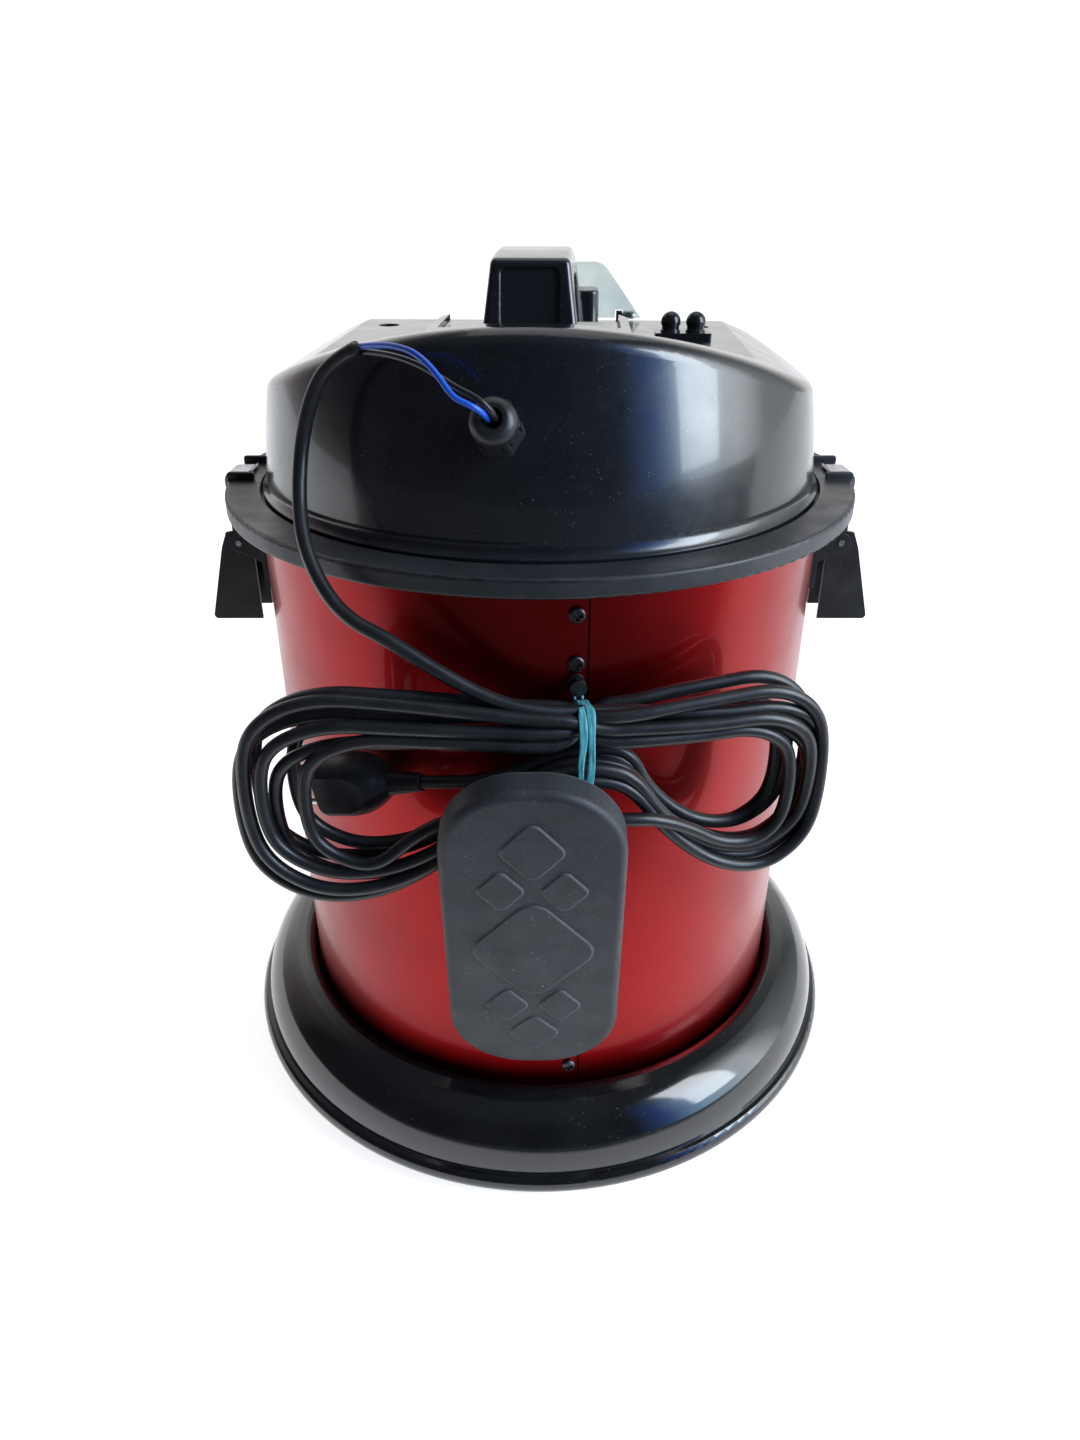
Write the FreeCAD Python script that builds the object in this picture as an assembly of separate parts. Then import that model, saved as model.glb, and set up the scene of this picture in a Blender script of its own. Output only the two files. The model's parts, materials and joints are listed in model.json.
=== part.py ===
import FreeCAD, Part
import math
import os

# Drum vacuum cleaner. Millimetres, +Z up, origin on the floor under the drum's axis.
# The drum's seam faces -Y and the hose inlet faces +Y. The motor head sits on the drum
# turned a little about +Z, so its pieces are made straight and turned on export.

V = FreeCAD.Vector
UP = V(0, 0, 1)

# ---- driving dimensions -------------------------------------------------------------
DRUM_R = 150.0
DRUM_T = 0.9
LAP_STEP = 0.8
DRUM_BOTTOM = 36.5
DRUM_TOP = 344.0
BEAD_R = 2.2
RING_TOP = 355.0
RING_T = 9.0
RING_R = 166.7
RING_IN = 149.0
GAP = 0.3
RUN = 0.05

BASE_R = 191.0
BASE_BOTTOM = 8.0
PLATE_Z = 32.3
PLATE_T = 4.0
PLATE_R = 174.0
PAN_Z = 45.0

HEAD_YAW = -10.0
COVER_T = 2.8
CREST_Z = RING_TOP + 90.0
ARCH_R = 260.0
CREST_ROUND = 9.0
DECK_Z = RING_TOP + 70.0
DECK_R = 122.0
DECK_END = 60.0
SLOPE = 28.4
PLATFORM_Z = RING_TOP + 84.0
PLATFORM_HALF = 42.0
PLATFORM_BACK = -112.0
PLATFORM_FRONT = -60.0

HANDLE_W = 40.4
HANDLE_TOP_W = 32.6
FLAP_PIN_Z = DECK_Z + 2.8
FLAP_T = 2.0
FLAP_X = 16.0
FLAP_HALF = 38.0
FLAP_TOP = RING_TOP + 100.0
KNUCKLE_X = 28.0
KNUCKLE_L = 6.0
KNUCKLE_R = 2.3
FLAP_PIN_R = 1.2

SWITCH_S = 20.0
GRILLE_S = 62.0

GLAND_BASE = V(0.0, -140.0, RING_TOP + 51.0)
GLAND_TILT = 27.0
GLAND_YAW = -4.0
GLAND_HOLE_R = 7.7

LATCH_PIVOT = (166.0, RING_TOP - 36.0)
STRAP_PIVOT = (168.0, RING_TOP - 52.0)
LEVER_HALF = 12.5
LEVER_T = 2.0
STRAP_HALF = 7.5
STRAP_T = 1.2
RIB_V = 17.5
LATCH_YAW = -7.5

CASTER_COUNT = 4
CASTER_R = 135.0
CASTER_TURN = 45.0
WHEEL_R = 13.5
WHEEL_W = 11.0
FORK_TRAIL = 11.0
STEM_R = 4.0
AXLE_R = 2.0

MOTOR_FLOOR = RING_TOP - 44.0
SHAFT_R = 4.0
FAN_CAN_R = 70.0
FAN_CAN_H = 47.0

CORD_R = 3.15
CORE_R = 1.2

PEDAL_L = 186.0
PEDAL_W = 84.0
PEDAL_AT = V(-25.0, -165.8, 183.0)
PEDAL_YAW = -8.0
PEDAL_LEAN = -8.0
PEDAL_BASE_T = 6.2
PEDAL_TOP_Z = 18.0

SEAM_SCREW_X = -4.0
SEAM_SCREW_Z = (RING_TOP - 22.0, RING_TOP - 45.0, RING_TOP - 292.0)
HOOK_Z = RING_TOP - 53.5
SHANK_R = 2.0
HOOK_L = 8.0
RIVET_V = (-9.0, 9.0)
RIVET_Z = RING_TOP - 54.0
INLET_Z = 262.0
INLET_NECK_R = 24.0
INLET_BORE_R = 17.6
INLET_END = 188.0
INLET_PLATE = 34.0

PILLAR_TOP = DECK_Z - 18.0
WELLS = ((-66.0, -78.0), (66.0, -78.0), (-84.0, 34.0), (84.0, 34.0))
CLIP_X = 72.0
CLIP_Y = -10.0
CUP_X = 47.0
CUP_Y = -26.0
HANDLE_BENDS = ((-93.0, 112.2, 3.4), (22.0, 104.4, 24.0), (16.2, 96.4, 8.0), (-71.5, 98.9, 7.0))

PEDAL_PIN_X = 18.0
PEDAL_PIN_Y = 74.0
PEDAL_PIN_Z = 5.0
LEAD_Y = 60.0
LEAD_Z = -3.6
LEAD_IN = 13.0
LEAD_OUT = 31.0
LEAD_BUSH_R = 4.3
PEDAL_SPRING_Y = -30.0
# middle x, middle y, half width, half height
DIAMONDS = (
    (0.0, 60.0, 15.5, 18.5),
    (-14.5, 36.0, 11.5, 13.5),
    (14.5, 36.0, 11.5, 13.5),
    (0.0, -4.0, 31.5, 36.0),
    (-13.0, -44.0, 11.0, 13.0),
    (13.0, -44.0, 11.0, 13.0),
    (0.0, -66.0, 13.5, 14.5),
)

PLUG_AT = V(-102.2, -129.8, 243.0)

# Control points of the cord and of its two bared cores, from the sheath's cut end.
CORD_ROUTE = [
    V(-88.7, -116.3, 437.0),
    V(-100.4, -109.8, 431.0),
    V(-109.2, -106.4, 417.5),
    V(-115.2, -105.0, 399.5),
    V(-118.3, -110.0, 380.0),
    V(-117.6, -126.0, 363.0),
    V(-111.0, -138.0, 346.5),
    V(-100.5, -146.0, 334.0),
    V(-84.0, -153.5, 327.0),
    V(-65.5, -159.0, 314.5),
    V(-45.0, -163.5, 304.5),
    V(-24.0, -167.5, 299.2),
]
CORE_BLUE_ROUTE = [
    V(-87.6, -117.8, 438.0),
    V(-81.4, -126.0, 439.8),
    V(-73.4, -136.5, 440.7),
    V(-66.8, -145.4, 439.7),
    V(-61.4, -152.1, 436.0),
    V(-57.5, -157.0, 431.6),
    V(-53.6, -161.4, 426.0),
    V(-47.8, -163.3, 423.6),
    V(-44.0, -162.5, 421.3),
    V(-41.5, -159.9, 418.8),
    V(-40.1, -155.0, 416.2),
]
CORE_BLACK_ROUTE = [
    V(-86.7, -116.0, 435.9),
    V(-79.9, -125.4, 436.6),
    V(-71.3, -136.5, 436.3),
    V(-63.4, -145.9, 434.4),
    V(-57.3, -153.4, 431.5),
    V(-51.4, -158.3, 428.5),
    V(-45.6, -161.0, 426.0),
    V(-41.4, -161.9, 423.0),
    V(-38.4, -160.1, 419.0),
    V(-37.1, -154.3, 415.5),
]

# The hank's sections along X.
HANK_SECTIONS = [
    # x, y, middle z, half height, half depth
    (-156.0, -147.0, 253.0, 14.0, 5.0),
    (-147.0, -149.0, 251.0, 36.0, 8.0),
    (-120.0, -154.5, 250.0, 51.0, 9.5),
    (-90.0, -159.0, 252.0, 49.0, 9.5),
    (-50.0, -162.0, 264.0, 33.0, 9.0),
    (-3.0, -164.4, 277.0, 18.4, 10.2),
    (40.0, -163.0, 264.0, 33.0, 9.5),
    (72.0, -160.5, 251.0, 52.0, 9.5),
    (96.0, -156.5, 250.0, 48.0, 9.0),
    (113.0, -152.0, 252.0, 22.0, 6.0),
]


# ---- small helpers ------------------------------------------------------------------
def ring(r_out, r_in, z0, z1):
    outer = Part.makeCylinder(r_out, z1 - z0, V(0, 0, z0))
    if r_in <= 0:
        return outer
    return outer.cut(Part.makeCylinder(r_in, z1 - z0, V(0, 0, z0)))


def block(x0, x1, y0, y1, z0, z1):
    return Part.makeBox(x1 - x0, y1 - y0, z1 - z0, V(x0, y0, z0))


def rod(a, b, r):
    return Part.makeCylinder(r, (b - a).Length, a, b - a)


def path_wire(items, place):
    """Closed wire from points; a pair of points in one item is an arc's middle and end."""
    edges = []
    here = items[0]
    for item in list(items[1:]) + [items[0]]:
        if isinstance(item[0], tuple):
            middle, end = item
            edges.append(Part.Arc(place(here), place(middle), place(end)).toShape())
            here = end
        else:
            if here != item:
                edges.append(Part.LineSegment(place(here), place(item)).toShape())
            here = item
    return Part.Wire(edges)


def turned(items):
    """Solid of revolution about Z from an outline of (radius, height)."""
    face = Part.Face(path_wire(items, lambda p: V(p[0], 0, p[1])))
    return face.revolve(V(0, 0, 0), UP, 360)


def side_plate(items, x0, x1):
    """Plate from an outline of (y, z), between two x."""
    face = Part.Face(path_wire(items, lambda p: V(x0, p[0], p[1])))
    return face.extrude(V(x1 - x0, 0, 0))


def front_plate(items, y0, y1):
    """Plate from an outline of (x, z), between two y."""
    face = Part.Face(path_wire(items, lambda p: V(p[0], y0, p[1])))
    return face.extrude(V(0, y1 - y0, 0))


def flat_plate(items, z0, z1):
    """Plate from an outline of (x, y), between two z."""
    face = Part.Face(path_wire(items, lambda p: V(p[0], p[1], z0)))
    return face.extrude(V(0, 0, z1 - z0))


def rounded(x0, x1, y0, y1, r):
    """Outline of a rounded rectangle."""
    k = r * (1 - math.sqrt(0.5))
    return [
        (x0 + r, y0),
        (x1 - r, y0),
        ((x1 - k, y0 + k), (x1, y0 + r)),
        (x1, y1 - r),
        ((x1 - k, y1 - k), (x1 - r, y1)),
        (x0 + r, y1),
        ((x0 + k, y1 - k), (x0, y1 - r)),
        (x0, y0 + r),
        ((x0 + k, y0 + k), (x0 + r, y0)),
    ]


def polar(radius, degrees, z=0.0):
    a = math.radians(degrees)
    return V(radius * math.cos(a), radius * math.sin(a), z)


def spun(shape, degrees, about=V(0, 0, 0), axis=UP):
    copy = shape.copy()
    copy.rotate(about, axis, degrees)
    return copy


def moved(shape, offset):
    copy = shape.copy()
    copy.translate(offset)
    return copy


def around(shape, count, first=0.0):
    return [spun(shape, first + i * 360.0 / count) for i in range(count)]


def softened(shape, edges, radius):
    """Round these edges, or leave them sharp where the radius doesn't fit."""
    try:
        result = shape.makeFillet(radius, edges)
        if result.isValid():
            return result
    except Part.OCCError:
        pass
    print("left sharp:", len(edges), "edges at radius", radius)
    return shape


def screw(head_r, head_h, shank_r, shank_l):
    """Pan-head screw along +Z: its head stands above z = 0 and its shank hangs below."""
    head = Part.makeCylinder(head_r, head_h)
    head = softened(head, [e for e in head.Edges if e.BoundBox.ZMin > head_h / 2], head_h * 0.6)
    shank = Part.makeCylinder(shank_r, shank_l, V(0, 0, -shank_l))
    arm = head_r * 0.6
    depth = head_h * 0.55
    slot_w = head_r * 0.22
    cross = block(-arm, arm, -slot_w, slot_w, head_h - depth, head_h)
    cross = cross.fuse(block(-slot_w, slot_w, -arm, arm, head_h - depth, head_h))
    return head.fuse(shank).cut(cross)


def aimed(shape, at, direction):
    """Move a shape made along +Z to a place, pointing along a direction."""
    copy = shape.copy()
    copy.Placement = FreeCAD.Placement(at, FreeCAD.Rotation(UP, direction))
    return copy


def group(shapes):
    return Part.makeCompound(shapes)


# ---- drum ---------------------------------------------------------------------------
def screw_places():
    """Where the seam screws stand on the drum's outer skin."""
    y = -math.sqrt((DRUM_R + LAP_STEP) ** 2 - SEAM_SCREW_X ** 2)
    return [V(SEAM_SCREW_X, y, z) for z in SEAM_SCREW_Z]


def drum_shell():
    lap = DRUM_R + LAP_STEP
    mid = DRUM_R + LAP_STEP / 2
    half = math.sqrt(0.5)
    outline = [
        (0, -DRUM_R),
        ((DRUM_R * half, DRUM_R * half), (-DRUM_R, 0)),
        ((-mid * half, -mid * half), (0, -lap)),
    ]
    shell = flat_plate(outline, DRUM_BOTTOM, DRUM_TOP - BEAD_R)
    bead = Part.makeTorus(DRUM_R, BEAD_R, V(0, 0, DRUM_TOP - BEAD_R))
    shell = shell.fuse(bead)
    shell = shell.cut(Part.makeCylinder(DRUM_R - DRUM_T, DRUM_TOP, V(0, 0, 0)))
    for place in screw_places() + [V(SEAM_SCREW_X, -DRUM_R, HOOK_Z)]:
        shell = shell.cut(rod(V(place.x, -DRUM_R - 5, place.z), V(place.x, -DRUM_R + 5, place.z), SHANK_R))
    for side in (0, 180):
        for v in RIVET_V:
            hole = rod(V(DRUM_R - 10, v, RIVET_Z), V(DRUM_R + 10, v, RIVET_Z), SHANK_R)
            shell = shell.cut(spun(hole, side + LATCH_YAW))
    shell = shell.cut(rod(V(0, DRUM_R - 15, INLET_Z), V(0, DRUM_R + 15, INLET_Z), INLET_NECK_R + GAP))
    for place in inlet_screw_places():
        shell = shell.cut(rod(place - V(0, 30, 0), place, SHANK_R))
    return shell


def drum_bottom():
    r = DRUM_R - DRUM_T - 0.2
    t = 1.0
    return turned([
        (0, PAN_Z),
        (r - 4, PAN_Z),
        ((r - t - 0.9, PAN_Z - 0.9), (r - t, PAN_Z - 3)),
        (r - t, DRUM_BOTTOM + 0.5),
        (r, DRUM_BOTTOM + 0.5),
        (r, PAN_Z - 3),
        ((r - 1.2, PAN_Z - 0.2), (r - 4, PAN_Z + t)),
        (0, PAN_Z + t),
    ])


def seam_screws():
    seam_screw = screw(3.8, 2.2, SHANK_R - 0.1, 2.2)
    return group([aimed(seam_screw, p + V(0, -0.05, 0), V(0, -1, 0)) for p in screw_places()])


def cord_hook():
    """Shouldered stud that the cord's tie hangs on."""
    foot = V(SEAM_SCREW_X, -DRUM_R, HOOK_Z)
    flange = rod(foot - V(0, 0.9, 0), foot - V(0, 2.4, 0), 3.8)
    shank = rod(foot + V(0, 1.6, 0), foot - V(0, HOOK_L, 0), SHANK_R - 0.1)
    head = rod(foot - V(0, HOOK_L - 1.0, 0), foot - V(0, HOOK_L + 1.2, 0), 3.8)
    return flange.fuse(shank).fuse(head)


# ---- hose inlet ---------------------------------------------------------------------
def inlet_screw_places():
    reach = INLET_PLATE * 0.78
    y = DRUM_R + 3.0
    return [V(sx * reach, y, INLET_Z + sz * reach) for sx in (-1, 1) for sz in (-1, 1)]


def inlet_port():
    """Moulded hose socket: a plate curved to the drum and a stepped collar with a bore."""
    plate = front_plate(rounded(-INLET_PLATE, INLET_PLATE, INLET_Z - INLET_PLATE, INLET_Z + INLET_PLATE, 8),
                        DRUM_R - 12, DRUM_R + 3)
    plate = plate.cut(Part.makeCylinder(DRUM_R + 1.5, 200, V(0, 0, INLET_Z - 100)))
    root = V(0, DRUM_R - 10, INLET_Z)
    collar = rod(root, V(0, INLET_END, INLET_Z), INLET_NECK_R - 2)
    neck = rod(root, V(0, DRUM_R + 12, INLET_Z), INLET_NECK_R)
    lip = rod(V(0, INLET_END - 8, INLET_Z), V(0, INLET_END, INLET_Z), INLET_NECK_R)
    port = plate.fuse(collar).fuse(neck).fuse(lip)
    port = port.cut(rod(V(0, DRUM_R - 20, INLET_Z), V(0, INLET_END + 1, INLET_Z), INLET_BORE_R))
    for place in inlet_screw_places():
        port = port.cut(rod(place - V(0, 30, 0), place + V(0, 1, 0), SHANK_R))
    return port


def inlet_gasket():
    pad = front_plate(rounded(-INLET_PLATE, INLET_PLATE, INLET_Z - INLET_PLATE, INLET_Z + INLET_PLATE, 8),
                      DRUM_R - 14, DRUM_R + 2)
    pad = pad.common(ring(DRUM_R + 1.4, DRUM_R + 0.1, INLET_Z - 50, INLET_Z + 50))
    pad = pad.cut(rod(V(0, DRUM_R - 20, INLET_Z), V(0, DRUM_R + 5, INLET_Z), INLET_NECK_R + 0.5))
    for place in inlet_screw_places():
        pad = pad.cut(rod(place - V(0, 30, 0), place + V(0, 1, 0), SHANK_R))
    return pad


def inlet_screws():
    return group([aimed(screw(3.6, 2.0, SHANK_R - 0.1, 9.0), p + V(0, 0.05, 0), V(0, 1, 0))
                  for p in inlet_screw_places()])


def inlet_elbow():
    """Deflector inside the drum that turns the incoming air down."""
    y1 = DRUM_R - 10.2
    y0 = y1 - 34
    r = INLET_NECK_R
    body = rod(V(0, y0, INLET_Z), V(0, y1, INLET_Z), r)
    body = body.fuse(rod(V(0, y0, INLET_Z), V(0, y0, INLET_Z - 30), r))
    body = body.fuse(Part.makeSphere(r, V(0, y0, INLET_Z)))
    t = 2.0
    hollow = rod(V(0, y0, INLET_Z), V(0, y1 + 1, INLET_Z), r - t)
    hollow = hollow.fuse(rod(V(0, y0, INLET_Z), V(0, y0, INLET_Z - 31), r - t))
    hollow = hollow.fuse(Part.makeSphere(r - t, V(0, y0, INLET_Z)))
    return body.cut(hollow)


# ---- base and casters ---------------------------------------------------------------
def base_ring():
    """Flared bumper skirt round the drum's foot, with an inner rib that sits on the plate."""
    lip = DRUM_R + LAP_STEP + 0.4
    rib = 158.0
    top = PLATE_Z + PLATE_T
    return turned([
        (lip, 45.0),
        ((lip + 2.2, 50.8), (lip + 7.4, 52.6)),
        (164.5, 50.6),
        ((178.4, 40.2), (185.6, 21.6)),
        (186.0, 17.8),
        (188.4, 17.2),
        ((BASE_R, 12.6), (189.6, BASE_BOTTOM)),
        (186.6, BASE_BOTTOM),
        (187.2, 13.6),
        (183.0, 15.0),
        ((175.4, 37.2), (163.4, 47.2)),
        (rib + 3.5, 48.2),
        (rib + 3.5, top),
        (rib, top),
        (rib, 48.6),
        ((lip + 3.4, 48.0), (lip + 2.6, 45.0)),
    ])


def base_plate():
    plate = ring(PLATE_R, 0, PLATE_Z, PLATE_Z + PLATE_T)
    socket = moved(ring(9.0, 0, 0, 7.5), polar(CASTER_R, 0, PLATE_Z + PLATE_T))
    for boss in around(socket, CASTER_COUNT, CASTER_TURN):
        plate = plate.fuse(boss)
    bore = moved(ring(STEM_R + RUN, 0, -1, 11.0), polar(CASTER_R, 0, PLATE_Z))
    for hole in around(bore, CASTER_COUNT, CASTER_TURN):
        plate = plate.cut(hole)
    for place in base_screw_places():
        plate = plate.cut(rod(place - V(0, 0, 1), place + V(0, 0, PLATE_T + 1), SHANK_R))
    slot = moved(ring(16.0, 0, -1, PLATE_T + 1), V(70, 0, PLATE_Z))
    for window in around(slot, 6):
        plate = plate.cut(window)
    return plate


def base_screw_places():
    return [polar(159.75, 22.5 + i * 45.0, PLATE_Z) for i in range(8)]


def base_screws():
    return group([aimed(screw(3.2, 2.0, SHANK_R - 0.6, PLATE_T - 0.2), p - V(0, 0, 0.05), V(0, 0, -1))
                  for p in base_screw_places()])


def caster_fork():
    """Swivel fork at the origin of its stem, with the stem and the axle as their own solids."""
    top = PLATE_Z - GAP
    disc = ring(10.0, 0, top - 2.4, top)
    inner = WHEEL_W / 2 + 0.8
    t = 2.5
    cheek = side_plate([
        (-8.0, top - 2.4),
        (-FORK_TRAIL - 4.5, WHEEL_R + 0.5),
        ((-FORK_TRAIL, WHEEL_R - 4.8), (-FORK_TRAIL + 4.5, WHEEL_R + 0.5)),
        (8.0, top - 2.4),
    ], inner, inner + t)
    fork = disc.fuse(cheek).fuse(cheek.mirror(V(0, 0, 0), V(1, 0, 0)))
    axle_at = V(-inner - t, -FORK_TRAIL, WHEEL_R)
    fork = fork.cut(rod(axle_at - V(5, 0, 0), axle_at + V(40, 0, 0), AXLE_R))
    fork = fork.cut(ring(2.0, 0, top - 3, top + 1))
    axle = rod(axle_at - V(0.8, 0, 0), axle_at + V(2 * (inner + t) + 0.8, 0, 0), AXLE_R)
    stem = ring(STEM_R, 0, top, top + 10.0).fuse(ring(2.0, 0, top - 2.4, top))
    return group([fork, axle, stem])


def caster_wheel():
    half = WHEEL_W / 2
    outline = [
        (AXLE_R + RUN, -half),
        (WHEEL_R - 2.0, -half),
        ((WHEEL_R - 0.4, -half + 1.4), (WHEEL_R, 0)),
        ((WHEEL_R - 0.4, half - 1.4), (WHEEL_R - 2.0, half)),
        (AXLE_R + RUN, half),
    ]
    wheel = turned(outline)
    wheel = wheel.cut(ring(WHEEL_R - 4.0, 5.0, half - 1.5, half + 1))
    wheel = wheel.cut(ring(WHEEL_R - 4.0, 5.0, -half - 1, -half + 1.5))
    wheel.rotate(V(0, 0, 0), V(0, 1, 0), 90)
    return moved(wheel, V(0, -FORK_TRAIL, WHEEL_R))


def caster(shape, number):
    """Place a caster piece under the plate, trailing towards the drum's back."""
    return moved(shape, polar(CASTER_R, CASTER_TURN + number * 360.0 / CASTER_COUNT))


# ---- latches ------------------------------------------------------------------------
def latch_bracket():
    """Bracket for the right-hand latch: a pad curved to the drum with two ears for the lever."""
    pu, pz = LATCH_PIVOT
    pad = block(DRUM_R - 6, DRUM_R + 3.4, -19, 19, RIVET_Z - 7, pz + 9)
    pad = pad.cut(Part.makeCylinder(DRUM_R + 0.15, 100, V(0, 0, pz - 60)))
    ear = [
        (DRUM_R + 2.5, pz - 12),
        (pu - 1, pz - 5.6),
        ((pu + 5.4, pz - 1), (pu - 1, pz + 5.6)),
        (DRUM_R + 2.5, pz + 9),
    ]
    body = pad
    for v0 in (-LEVER_HALF - 2.9, LEVER_HALF + 0.4):
        body = body.fuse(front_plate(ear, v0, v0 + 2.5))
    body = body.cut(rod(V(pu, -30, pz), V(pu, 30, pz), 1.6))
    for v in RIVET_V:
        body = body.cut(rod(V(DRUM_R - 10, v, RIVET_Z), V(DRUM_R + 10, v, RIVET_Z), SHANK_R))
    return body


def latch_pins():
    """Two short pins that carry the lever, one in each ear."""
    pu, pz = LATCH_PIVOT
    outer = LEVER_HALF + 3.6
    inner = LEVER_HALF - LEVER_T
    return [rod(V(pu, s * inner, pz), V(pu, s * outer, pz), 1.6) for s in (-1, 1)]


def latch_rivets():
    pieces = []
    for v in RIVET_V:
        shank = rod(V(DRUM_R - 2.2, v, RIVET_Z), V(DRUM_R + 3.6, v, RIVET_Z), SHANK_R - 0.05)
        head = Part.makeCylinder(3.6, 1.3, V(DRUM_R + 3.45, v, RIVET_Z), V(1, 0, 0))
        head = softened(head, [e for e in head.Edges if e.BoundBox.XMin > DRUM_R + 4], 0.8)
        pieces.append(shank.fuse(head))
    return pieces


def latch_lever():
    """Over-centre lever: two cheeks, a flared outer wall with a window, and a foot."""
    pu, pz = LATCH_PIVOT
    low = RING_TOP - 82.0
    su, sz = STRAP_PIVOT
    cheek = [
        (pu - 6.0, pz + 3.0),
        ((pu - 3.6, pz + 5.4), (pu, pz + 6.4)),
        (pu + 7.5, pz + 5.0),
        (pu + 11.0, pz - 4.0),
        (pu + 21.0, low + 3.0),
        ((pu + 20.6, low + 0.8), (pu + 18.5, low)),
        (pu - 6.5, low),
        (pu - 6.5, pz - 4.0),
    ]
    wall = [
        (pu + 11.2, pz - 4.0),
        (pu + 21.0, low + 3.0),
        ((pu + 20.6, low + 0.8), (pu + 18.5, low)),
        (pu + 4.0, low),
        (pu + 4.0, low + LEVER_T),
        (pu + 18.0, low + LEVER_T),
        (pu + 9.2, pz - 4.0),
    ]
    lever = front_plate(cheek, LEVER_HALF - LEVER_T, LEVER_HALF)
    lever = lever.fuse(front_plate(cheek, -LEVER_HALF, -LEVER_HALF + LEVER_T))
    lever = lever.fuse(front_plate(wall, -LEVER_HALF + LEVER_T, LEVER_HALF - LEVER_T))
    lever = lever.cut(block(pu + 4, pu + 30, -STRAP_HALF - 1, STRAP_HALF + 1, pz - 32, pz))
    lever = lever.cut(rod(V(pu, -30, pz), V(pu, 30, pz), 1.6 + RUN))
    lever = lever.cut(rod(V(su, -30, sz), V(su, 30, sz), 1.5))
    pin = rod(V(su, -LEVER_HALF, sz), V(su, LEVER_HALF, sz), 1.5)
    return group([lever, pin])


def latch_strap():
    """Steel strap from the lever's pin up and over the head's rim."""
    su, sz = STRAP_PIVOT
    leg = RING_R + 3.2
    t = STRAP_T
    top = RING_TOP + 0.4
    tip = RING_R - 9.7
    strap = [
        (su + 1.6, sz + 0.6),
        (leg, sz + 9.0),
        (leg, top - 4.0),
        ((leg - 1.2, top - 1.2), (leg - 4.0, top)),
        (tip, top),
        (tip - 1.5, top + 1.2),
        (tip - 1.0, top + t + 0.9),
        (tip + 0.6, top + t),
        (leg - 4.0, top + t),
        ((leg - 0.4, top - 0.4 + 0.1), (leg + t, top - 4.0)),
        (leg + t, sz + 8.7),
        (su + 3.0, sz + 0.6),
    ]
    body = front_plate(strap, -STRAP_HALF, STRAP_HALF)
    body = body.fuse(rod(V(su, -STRAP_HALF, sz), V(su, STRAP_HALF, sz), 2.9))
    return body.cut(rod(V(su, -30, sz), V(su, 30, sz), 1.5 + RUN))


# ---- head: tray, cover, handle ------------------------------------------------------
def motor_tray():
    """Clamping flange and the bowl below it that carries the motor."""
    top = RING_TOP
    low = RING_TOP - RING_T
    floor = MOTOR_FLOOR
    tray = turned([
        (RING_IN, top),
        (RING_R - 1.6, top),
        ((RING_R - 0.4, top - 0.5), (RING_R, top - 1.8)),
        (RING_R, low + 1.6),
        ((RING_R - 0.4, low + 0.4), (RING_R - 1.6, low)),
        (DRUM_R + 4.0, low),
        (DRUM_R + 4.0, low + 1.6),
        (DRUM_R - 1.6, low + 1.6),
        (DRUM_R - 1.6, low),
        (146.6, low),
        (143.6, floor + 2.0),
        ((142.2, floor - 2.2), (138.6, floor - 3.0)),
        (46.0, floor - 3.0),
        (46.0, floor),
        (138.0, floor),
        ((140.2, floor + 0.6), (141.0, floor + 3.0)),
        (143.4, low - 2.0),
        (143.4, top - 4.8),
        (RING_IN, top - 4.8),
    ])
    rib = block(RING_R - 14.7, RING_R - 0.7, -1.6, 1.6, top - 1.0, top + 4.0)
    rib = softened(rib, [e for e in rib.Edges if e.BoundBox.ZMin > top + 3.9], 1.2)
    for side in (0, 180):
        for v in (-RIB_V, RIB_V):
            tray = tray.fuse(spun(moved(rib, V(0, v, 0)), side + LATCH_YAW))
    tray = tray.removeSplitter()
    for place in cover_screw_places():
        post = rod(V(place.x, place.y, floor - 1), V(place.x, place.y, PILLAR_TOP), 6.0)
        tray = tray.fuse(post)
        tray = tray.cut(rod(V(place.x, place.y, PILLAR_TOP - 14), place, 1.9))
    return tray


def cover_screw_places():
    """The four deep screw wells in the deck, turned with the head."""
    return [spun_point(V(x, y, DECK_Z)) for x, y in WELLS]


def spun_point(p):
    a = math.radians(HEAD_YAW)
    return V(p.x * math.cos(a) - p.y * math.sin(a), p.x * math.sin(a) + p.y * math.cos(a), p.z)


def cover_form(inset):
    """The cover's outer form, or the same form drawn in by a wall's thickness."""
    base = RING_TOP - 4.5
    foot = RING_IN - 1.6 - inset
    form = turned([
        (0, base),
        (foot, base),
        (foot, RING_TOP + 1.0),
        ((foot - 2.2, RING_TOP + 3.6), (foot - 2.8, RING_TOP + 8.0)),
        ((foot - 6.9, RING_TOP + 42.0), (foot - 16.9, RING_TOP + 92.0)),
        (0, RING_TOP + 92.0),
    ])
    arch = Part.makeCylinder(ARCH_R - inset, 400, V(0, -200, CREST_Z - ARCH_R), V(0, 1, 0))
    form = form.common(arch)
    return form.cut(slope_space(inset))


def slope_space(inset):
    """All the space above the front slope."""
    space = block(-200, 200, 0, 200, 0, 200)
    space = space.fuse(block(-200, 200, -200, 0.5, 0, 200)).removeSplitter()
    space.rotate(V(0, 0, 0), V(1, 0, 0), -SLOPE)
    a = math.radians(SLOPE)
    drop = V(0, -inset * math.sin(a), -inset * math.cos(a))
    return moved(space, V(0, DECK_END, DECK_Z) + drop)


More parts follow.
